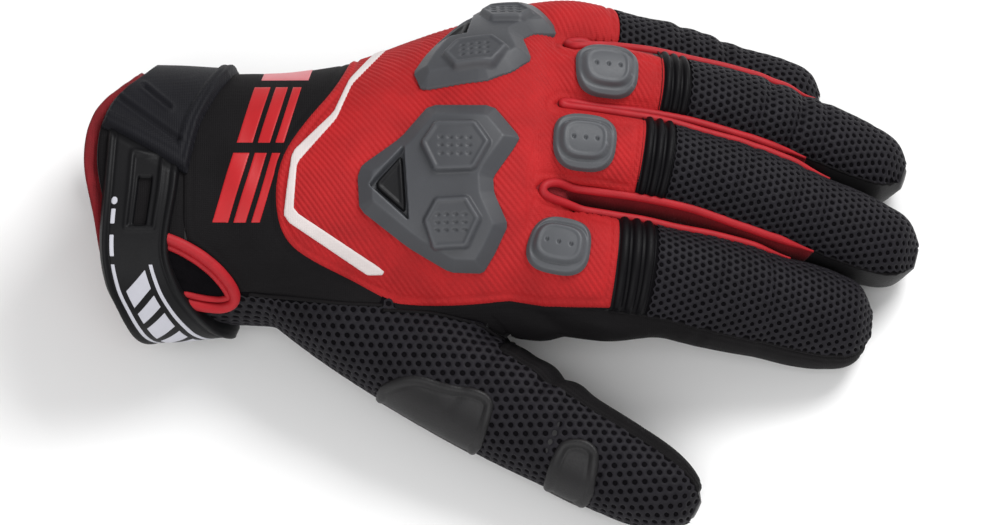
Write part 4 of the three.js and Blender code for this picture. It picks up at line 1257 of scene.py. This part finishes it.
def make_index_side():
    limb = limbs["index"]
    reach = limb.radius.max() * math.pi
    plain = cloth(0.15, 0.55, 1.2, 0.25, 2)

    def height(u, v, edge):
        share = np.interp(u, limb.u, limb.shares)
        swell = STRIP_BULGE * smoothstep(0.16, 0.27, share) * smoothstep(0.56, 0.36, share)
        return plain(u, v, edge) + swell * smoothstep(0, 6, edge)

    def mask(u, v):
        inside = limb.within(u, v, STRIP_START, SEAM_END, -FRONT_TURN - 6, SEAMS["index"][0])
        return np.minimum(inside, 0.8 - in_red(limb.at(u, v)[0]))

    panel("index_strip", limb.at, np.arange(limb.along(STRIP_START), limb.u[-1], 0.7),
          np.arange(-reach, 0, 0.6), mask, height, "neoprene", ["index_side"])


make_index_side()


# Thumb

THUMB_STRIP = (0.5, 52, 122)  # start, and turns of the smooth strip on its upper side
THUMB_PITCH = 2.55
PATCH_ROLL = 1.2
GUSSET_OUTLINE = rounded(outline_points([
    (-0.70, 0.02), (-0.662, 0.002), (-0.538, -0.026), (-0.411, -0.116), (-0.375, -0.154),
    (-0.391, -0.181), (-0.466, -0.194), (-0.59, -0.186), (-0.70, -0.17)]))
WRIST_OUTLINE = rounded(outline_points([
    (-0.606, 0.64), (0.3, 0.64), (0.3, -0.19), (0.01, -0.181), (-0.19, -0.165), (-0.36, -0.152),
    (-0.606, -0.15)]), 1)
THUMB_PATCHES = {
    "knuckle": [(0.19, -0.41), (0.283, -0.379), (0.41, -0.368), (0.546, -0.395), (0.728, -0.409),
                (0.789, -0.438), (0.789, -0.468), (0.7, -0.62), (0.2, -0.58)],
    "tip": [(1.05, -0.637), (1.103, -0.564), (1.144, -0.542), (1.245, -0.542), (1.31, -0.569),
            (1.316, -0.602), (1.28, -0.74), (1.03, -0.72)],
}
# Seams under the web and below the wrist cloth
SEAM_LINES = {
    "web": [(12, -19.4), (26.8, -20.4), (37.4, -22.5), (43.4, -27.5)],
    "wrist": [(-23, -14.8), (-12.5, -16), (0.5, -17.6), (12, -18.2)],
}


def in_gusset(points):
    return inside_outline(*draft(points), GUSSET_OUTLINE)


def in_wrist(points):
    return inside_outline(*draft(points), WRIST_OUTLINE)


def patch_height(u, v, edge):
    """A rolled edge, a flat field and a groove between them."""
    edge_roll = 1.0 * np.sqrt(np.clip(1 - ((edge - PATCH_ROLL) / PATCH_ROLL) ** 2, 0, 1)) * (edge < PATCH_ROLL)
    field = (0.55 + 0.45 * bump_at(edge, PATCH_ROLL, 0.9)) * (edge >= PATCH_ROLL)
    return 0.6 + edge_roll + field - 0.25 * bump_at(edge, 2.6, 0.35)


def make_thumb():
    limb = limbs["thumb"]
    start, low, high = THUMB_STRIP

    def mask(u, v):
        points, _ = limb.at(u, v)
        inside = limb.within(u, v, -0.06, NET_END, -96, 112)
        inside = np.minimum(inside, -limb.within(u, v, start, 1.2, low, 200))
        inside = np.minimum(inside, 0.5 - in_wrist(points))
        inside = np.minimum(inside, 0.4 - inside_outline(*draft(points), WEB_OUTLINE))
        return np.minimum(inside, np.minimum(0.8 - in_red(points), 0.5 - in_gusset(points)))

    reach = limb.v[-1]
    make_mesh("thumb", mask, THUMB_PITCH, ["thumb_back", "side_panel"], 1, reach, 0.8, 0.47)
    panel("thumb_strip", limb.at, np.arange(limb.along(start) - 1, limb.u[-1], 0.6), np.arange(0, reach, 0.6),
          lambda u, v: limb.within(u, v, start, SEAM_END, low, high), cloth(0.2, 0.7, 1.5, 0.3),
          "neoprene", ["thumb_side"])
    for name, rows in THUMB_PATCHES.items():
        corners = rounded(outline_points(rows))
        panel("patch_" + name, limb.at, np.arange(5, limb.u[-1], 0.35), np.arange(-reach, 20, 0.35),
              lambda u, v: np.minimum(inside_outline(*draft(limb.at(u, v)[0]), corners),
                                      limb.within(u, v, 0, 1, -100, 60)),
              patch_height, "leather", ["thumb_patch_" + name])


make_thumb()
for name, line in SEAM_LINES.items():
    seam(name, *dropped(sample_path(line, 0.8)), 0.5)
seam("thumb", *limb_path(limbs["thumb"], THUMB_STRIP[0] + 0.01, 0.98, THUMB_STRIP[1]), 0.4)


# Wrist: panel, notch, cuff, lining, flap and strap

def make_wrist_panel():
    def mask(u, v):
        points, _ = back.at(u, v)
        inside = np.minimum(in_wrist(points), above_seam(points))
        return np.minimum(np.minimum(inside, 0.8 - in_red(points)), 0.3 - in_gusset(points))

    panel("wrist_fabric", back.at, np.arange(-49, 20, 0.6), np.arange(-55, 60, 0.6), mask,
          cloth(0.1, 0.35, 0.8, 0.2), "neoprene", ["wrist_panel"])
    panel("notch_cloth", back.at, np.arange(-49, -20, 0.5), np.arange(-55, 20, 0.5),
          lambda u, v: in_gusset(back.at(u, v)[0]) + 0.3,
          lambda u, v, edge: 0.12 + 0.5 * smoothstep(-38, -40, u) + 0.2 * np.sin(v * 1.3 + u * 0.4) ** 2,
          "mesh_backing", ["wrist_gusset"], "neoprene")


make_wrist_panel()

# Two red rolls round the notch, the inner one thin and low: radius, shift sideways, lift and nodes
NOTCH_PATH = [(-45, -0.3), (-40.3, -2.1), (-35.5, -4.8), (-31.2, -8.2), (-28, -11.9), (-26.3, -15),
              (-27, -17.2), (-30.2, -18.2), (-35, -17.8), (-40.5, -16.6)]
NOTCH_ROLLS = {
    "notch_roll": (1.5, 0.0, 0.9, ["notch_piping"]),
    "notch_roll_inner": (0.85, -1.9, 0.5, []),
}
for name, (radius, shift, lift, nodes) in NOTCH_ROLLS.items():
    line = sample_path(NOTCH_PATH, 0.8)
    ahead = unit(np.gradient(line, axis=0))
    line = line + np.stack([-ahead[:, 1], ahead[:, 0]], -1) * shift
    path, normals = dropped(line)
    roll(name, path + normals * lift, normals, radius, "red_piping", nodes, sides=12)


def rim_places(turns):
    """Where the lining's rim lies along x, at turns round the wrist."""
    x = np.full(len(turns), -60.0)
    for _ in range(8):
        x = rim_x(draft(wrist_points(x, turns))[1])
    return x


SLEEVE_TURNS = np.arange(0, 360, 1.5)
SLEEVE_RIM = rim_places(SLEEVE_TURNS)
LINING_GAP = 0.1  # between the wall and the lining
LINING_LIP = 0.8
LINING_FLARE = 1.9
LINING_END = 30.0  # along the hand, where the lining closes
CUFF_START = LINING_REACH + 0.9


def sleeve_ring(behind, grow, end=None, share=0.0):
    """A ring round the wrist, behind the rim, or a share of the way from there to an end."""
    x = SLEEVE_RIM + behind
    if end is not None:
        x = x + (end - x) * share
    return wrist_points(x, SLEEVE_TURNS, grow)


def sleeve(name, rings, finish, node):
    rings = np.array(rings)
    piece(name, rings.reshape(-1, 3), grid_faces(len(rings), len(SLEEVE_TURNS), wrap=True), finish, [node])


def make_lining():
    """A red sock inside the hand: out at the rim, deep inside closed."""
    outside, inside = -WALL - LINING_GAP, -WALL - LINING_GAP - LINING_WALL
    pucker = 0.12 * np.sin(np.radians(SLEEVE_TURNS) * 34)
    upper = 1 - smoothstep(108, 132, SLEEVE_TURNS) * smoothstep(345, 300, SLEEVE_TURNS)
    flare = lambda behind: LINING_FLARE * upper * smoothstep(LINING_REACH, LINING_LIP, behind)
    rings = [sleeve_ring(behind, outside + pucker + flare(behind))
             for behind in np.linspace(14, LINING_LIP, 16)]
    for angle in np.radians([25, 50, 75, 105, 130, 155]):
        grow = (outside + inside) / 2 + (outside - inside) / 2 * math.cos(angle)
        behind = LINING_LIP - LINING_LIP * math.sin(angle)
        rings.append(sleeve_ring(behind, grow + pucker * 0.5 + flare(LINING_LIP)))
    rings += [sleeve_ring(behind, inside + flare(behind)) for behind in (1.4, 2.2, 3.2)]
    waves = 0.5 * np.sin(np.radians(SLEEVE_TURNS) * 5)
    for share in np.linspace(0, 1, 30):
        deep = 2.8 * smoothstep(0, 0.3, share)
        rings.append(sleeve_ring(LINING_REACH + 0.3, inside - deep + waves * share, LINING_END, share))
    middle = rings[-1].mean(0)
    rings += [rings[-1] * keep + middle * (1 - keep) for keep in (0.8, 0.4, 0.0)]
    sleeve("lining", rings, "red_lining", "cuff_lining")


def make_cuff():
    """The cloth band of the cuff: over the skin, round its lip and a little way back inside."""
    top, bottom = 0.5, -WALL + 0.2
    rings = []
    for share in np.linspace(1, 0, 40):
        edge = share * CUFF_REACH
        grow = top * smoothstep(0, 0.08, 1 - share) - 0.25 * bump_at(edge, 2.6, 0.5)
        rings.append(sleeve_ring(CUFF_START, grow, CUFF_REACH - WRIST_LENGTH + 0.5, share))
    for angle in np.radians([30, 60, 90, 120, 150]):
        grow = (top + bottom) / 2 + (top - bottom) / 2 * math.cos(angle)
        rings.append(sleeve_ring(CUFF_START - 0.9 * math.sin(angle), grow))
    rings += [sleeve_ring(CUFF_START + back_in, bottom) for back_in in (0, 3, 8)]
    sleeve("cuff_band", rings, "neoprene", "cuff")


make_lining()
make_cuff()

# Flap: a stiff panel over the cuff, with a raised hem along its right and lower edges
WRIST_ARC = 0.53  # millimetres round the wrist for each degree
FLAP = table("at left right", [
    (-12, -0.94, -0.45), (15, -0.94, -0.4), (40, -0.94, -0.43), (60, -0.94, -0.49), (76, -0.94, -0.545),
    (97, -0.64, -0.59)])
HEM_WIDTH = 4.3
HEM_HEIGHT = 1.0
FLAP_EDGE = 0.7
FLAP_HEIGHT = 2.0
FLAP_GROOVES = (((-50.8, 37.7), (-43.9, 32.4)), ((-57.1, 34.8), (-41.1, 24.1)))  # along, up the draft plane


def flap_lines():
    """The flap's outline, and the line that its hem follows."""
    turns = np.linspace(FLAP["at"][0], FLAP["at"][-1], 60)
    right = np.interp(turns, FLAP["at"], FLAP["right"]) * WRIST_LENGTH
    hem = np.stack([right, turns * WRIST_ARC], -1)
    corner, start = (np.array([(FLAP["left"][row] * WRIST_LENGTH, FLAP["at"][row] * WRIST_ARC)])
                     for row in (-2, 0))
    return np.concatenate([hem, corner, start]), np.concatenate([hem[8:], corner])


FLAP_OUTLINE, HEM_LINE = flap_lines()


def make_flap():
    def mask(u, v):
        rim = rim_x(draft(wrist.at(u, v)[0])[1])
        return np.minimum(inside_outline(u, v * WRIST_ARC, FLAP_OUTLINE), u - rim - LINING_REACH - 0.3)

    def height(u, v, edge):
        flat_edge = smoothstep(0, 1.0, edge)
        hem = outside_line(u, v * WRIST_ARC, HEM_LINE)
        raised = smoothstep(HEM_WIDTH, HEM_WIDTH - 0.7, hem) * smoothstep(-8, 30, v)
        stitch = 0.3 * bump_at(hem, HEM_WIDTH * 0.52, 0.3) + 0.22 * bump_at(hem, HEM_WIDTH * 0.8, 0.25)
        h = FLAP_EDGE + (FLAP_HEIGHT - FLAP_EDGE) * flat_edge
        h = h + HEM_HEIGHT * raised * (0.4 + 0.6 * flat_edge) - stitch
        places = draft(wrist.at(u, v)[0])
        for groove in FLAP_GROOVES:
            away = outside_line(*places, np.array(groove))
            h = h - 0.5 * bump_at(away, 0, 0.45) + 0.3 * bump_at(away, 1.0, 0.5)
        crown = 0.35 * bump_at(outside_line(*places, np.array(FLAP_GROOVES[1])), 3.5, 2.4)
        return h + crown * (1 - raised)

    panel("flap", wrist.at, np.arange(-64, -24, 0.4), np.arange(-16, 101, 0.75), mask, height,
          "flap", ["cuff_flap"], "strap_rubber", skirt=2.2)


# Strap: a moulded band from under the flap round the side of the wrist, and its rounded end
STRAP = table("at left right", [
    (70, -0.9, -0.6), (101, -0.92, -0.625), (130, -0.932, -0.66), (150, -0.91, -0.62), (165, -0.87, -0.565),
    (182, -0.825, -0.49), (202, -0.76, -0.4), (225, -0.67, -0.4), (245, -0.6, -0.42), (262, -0.58, -0.42)])
STRAP_BREADTH = 20.0
STRAP_THICKNESS = 2.6
STRAP_START, STRAP_END = 40, 243  # turns
STRAP_CORNER = 6.5
STRAP_UNDER = 2.5  # how far it runs on under the flap
STRAP_STAND_OFF = 1.4
BLOCKS = ((146, 156), (160, 167), (171, 181), (185, 192), (196, 206))  # turns of the printed blocks
BLOCK_LEAN = 0.9


def make_strap_sheet():
    turns = np.arange(72, 256, 0.75)
    v = np.arange(-1.2, STRAP_BREADTH + 1.2, 0.5)
    left = read(STRAP, "left", turns)[:, None] * WRIST_LENGTH
    right = read(STRAP, "right", turns)[:, None] * WRIST_LENGTH
    x = left + (right - left) * v[None, :] / STRAP_BREADTH
    return Sheet(wrist_points(x, turns[:, None]), turns * WRIST_ARC, v, np.array([-45.0, 0, 25]))


def box_inside(u, v, low_u, high_u, low_v, high_v, corner=0.0):
    """Millimetres inside a rectangle with rounded corners, its turns given in degrees."""
    du = np.minimum(u - low_u * WRIST_ARC, high_u * WRIST_ARC - u)
    dv = np.minimum(v - low_v, high_v - v)
    round_ = corner - np.hypot(np.maximum(corner - du, 0), np.maximum(corner - dv, 0))
    return np.where((du < corner) & (dv < corner), round_, np.minimum(du, dv))


def make_strap():
    sheet = make_strap_sheet()

    def under_flap(u, v):
        """Millimetres clear of the flap's edge, negative under it."""
        return -inside_outline(sheet.at(u, v)[0][..., 0], u, FLAP_OUTLINE)

    def mask(u, v):
        body = box_inside(u, v, STRAP_START, STRAP_END, 0, STRAP_BREADTH, STRAP_CORNER)
        return np.minimum(body, under_flap(u, v) + STRAP_UNDER)

    def height(u, v, edge):
        side = np.minimum(v, STRAP_BREADTH - v)
        clear = smoothstep(-0.5, 2.0, under_flap(u, v))
        h = 0.8 + (STRAP_THICKNESS - 0.7) * ramp(edge, 0.8)
        h = h + 0.45 * bump_at(side, 1.3, 0.75) - 0.3 * bump_at(side, 2.5, 0.35)
        frame_edge = box_inside(u, v, 88, 122, 6.6, 15.8, 1.0)
        slot = box_inside(u, v, 98, 119.5, 9.2, 13.0, 0.6)
        h = h + 0.4 * bump_at(frame_edge, 0.5, 0.55) - 0.5 * smoothstep(1.0, 1.5, frame_edge)
        h = h - 1.7 * smoothstep(-0.1, 0.3, slot)
        stand_off = STRAP_STAND_OFF * smoothstep(150, 195, u / WRIST_ARC)
        return (h - 1.2) * (0.35 + 0.65 * clear) + 0.9 + stand_off

    def printed(u, v):
        """A dot, two dashes, two lines and slanted blocks between them."""
        marks = [0.85 - np.hypot(u - 109 * WRIST_ARC, v - 3.5)]
        marks += [box_inside(u, v, low, high, 2.9, 4.1, 0.2) for low, high in ((112.5, 119), (124, 134))]
        marks += [box_inside(u, v, 138, 214, low, low + 1) for low in (2.9, 13.6)]
        lean = (v - 9) * BLOCK_LEAN
        marks += [box_inside(u + lean, v, low, high, 5.4, 12.2) for low, high in BLOCKS]
        return np.max(marks, axis=0)

    panel("strap_band", sheet.at, np.arange(72, 252, 0.6) * WRIST_ARC,
          np.arange(-0.6, STRAP_BREADTH + 0.6, 0.3), mask, height, "strap_rubber", ["strap"], skirt=3.0)
    panel("strap_marks", sheet.at, np.arange(104, 216, 0.4) * WRIST_ARC, np.arange(2, 16, 0.2), printed,
          lambda u, v, edge: height(u, v, np.full(np.shape(u), 3.0)) + 0.08, "white_print",
          slot="strap_rubber", skirt=0.2)


make_flap()
make_strap()

# A plain print on the wrist: slanted bars in two rows, and a small pale one over them.
# Each has its lower left corner in the draft plane, its breadth and its height.
PRINT_LEAN = 0.3
PRINT_TOP = 47  # millimetres round the hand
PRINT_BARS = {
    "red": [(-32.4, 3.5, 4.2, 18.0), (-26.8, 3.5, 3.2, 18.0), (-22.2, 3.5, 2.2, 18.0),
            (-26.2, 24.2, 4.2, 14.5), (-20.6, 24.2, 3.2, 14.5), (-16.0, 24.2, 2.2, 14.5)],
    "pink": [(-20.2, 40.6, 12.5, 3.0)],
}


def make_print(colour, bars):
    shapes = [np.array([(a, b), (a + w, b), (a + w + PRINT_LEAN * h, b + h), (a + PRINT_LEAN * h, b + h)])
              for a, b, w, h in bars]

    def mask(u, v):
        points, _ = back.at(u, v)
        inside = np.max([inside_outline(*draft(points), shape) for shape in shapes], axis=0)
        return np.minimum(inside, np.minimum(PRINT_TOP - v, -0.8 - in_red(points)))

    panel("wrist_marks_" + colour, back.at, np.arange(-36, 4, 0.25), np.arange(-30, 60, 0.3), mask,
          cloth(0.53, 0.1, 0.3), colour + "_print", slot="red_fabric", skirt=0.3)


for colour, bars in PRINT_BARS.items():
    make_print(colour, bars)


# Floor, light and camera

FLOOR_SIZE = 3000
FLOOR_GREY = 0.93
LIGHT_TARGET = (0.04, 0, 0)


def make_floor():
    corner = np.array([(-1, -1, 0), (1, -1, 0), (1, 1, 0), (-1, 1, 0)]) * FLOOR_SIZE
    material = bpy.data.materials.new("floor")
    material.use_nodes = True
    shader = material.node_tree.nodes["Principled BSDF"]
    shader.inputs["Base Color"].default_value = (FLOOR_GREY, FLOOR_GREY, FLOOR_GREY, 1)
    shader.inputs["Roughness"].default_value = 0.8
    floor = mesh_object("floor", corner, np.array([[0, 1, 2, 3]]), material)


def make_light(name, size, energy, place):
    data = bpy.data.lights.new(name, "AREA")
    data.size = size
    data.energy = energy
    light = bpy.data.objects.new(name, data)
    light.location = place
    light.rotation_euler = (Vector(LIGHT_TARGET) - Vector(place)).to_track_quat("-Z", "Y").to_euler()
    bpy.context.scene.collection.objects.link(light)


# The photograph's framing: view along this tilt, this many millimetres across the picture.
VIEW_ELEVATION = 63
PICTURE_WIDTH = 263.2
PICTURE_MIDDLE = (42.6, -17.9, 20)
LENS = 300
SENSOR = 36


def make_camera():
    data = bpy.data.cameras.new("camera")
    data.lens = LENS
    data.sensor_width = SENSOR
    camera = bpy.data.objects.new("camera", data)
    lean = math.radians(VIEW_ELEVATION)
    toward = Vector((0, -math.cos(lean), math.sin(lean)))
    distance = PICTURE_WIDTH * LENS / SENSOR
    camera.location = (Vector(PICTURE_MIDDLE) + toward * distance) * MM
    camera.rotation_euler = (-toward).to_track_quat("-Z", "Y").to_euler()
    bpy.context.scene.collection.objects.link(camera)
    bpy.context.scene.camera = camera


make_floor()
make_light("key", 0.45, 7, (0.45, 0.4, 0.7))
make_light("fill", 1.0, 7, (-0.1, -0.7, 0.75))
make_camera()

world = bpy.data.worlds.new("studio")
world.use_nodes = True
world.node_tree.nodes["Background"].inputs["Color"].default_value = (1, 1, 1, 1)
world.node_tree.nodes["Background"].inputs["Strength"].default_value = 0.42
bpy.context.scene.world = world
bpy.context.scene.view_settings.view_transform = "Standard"
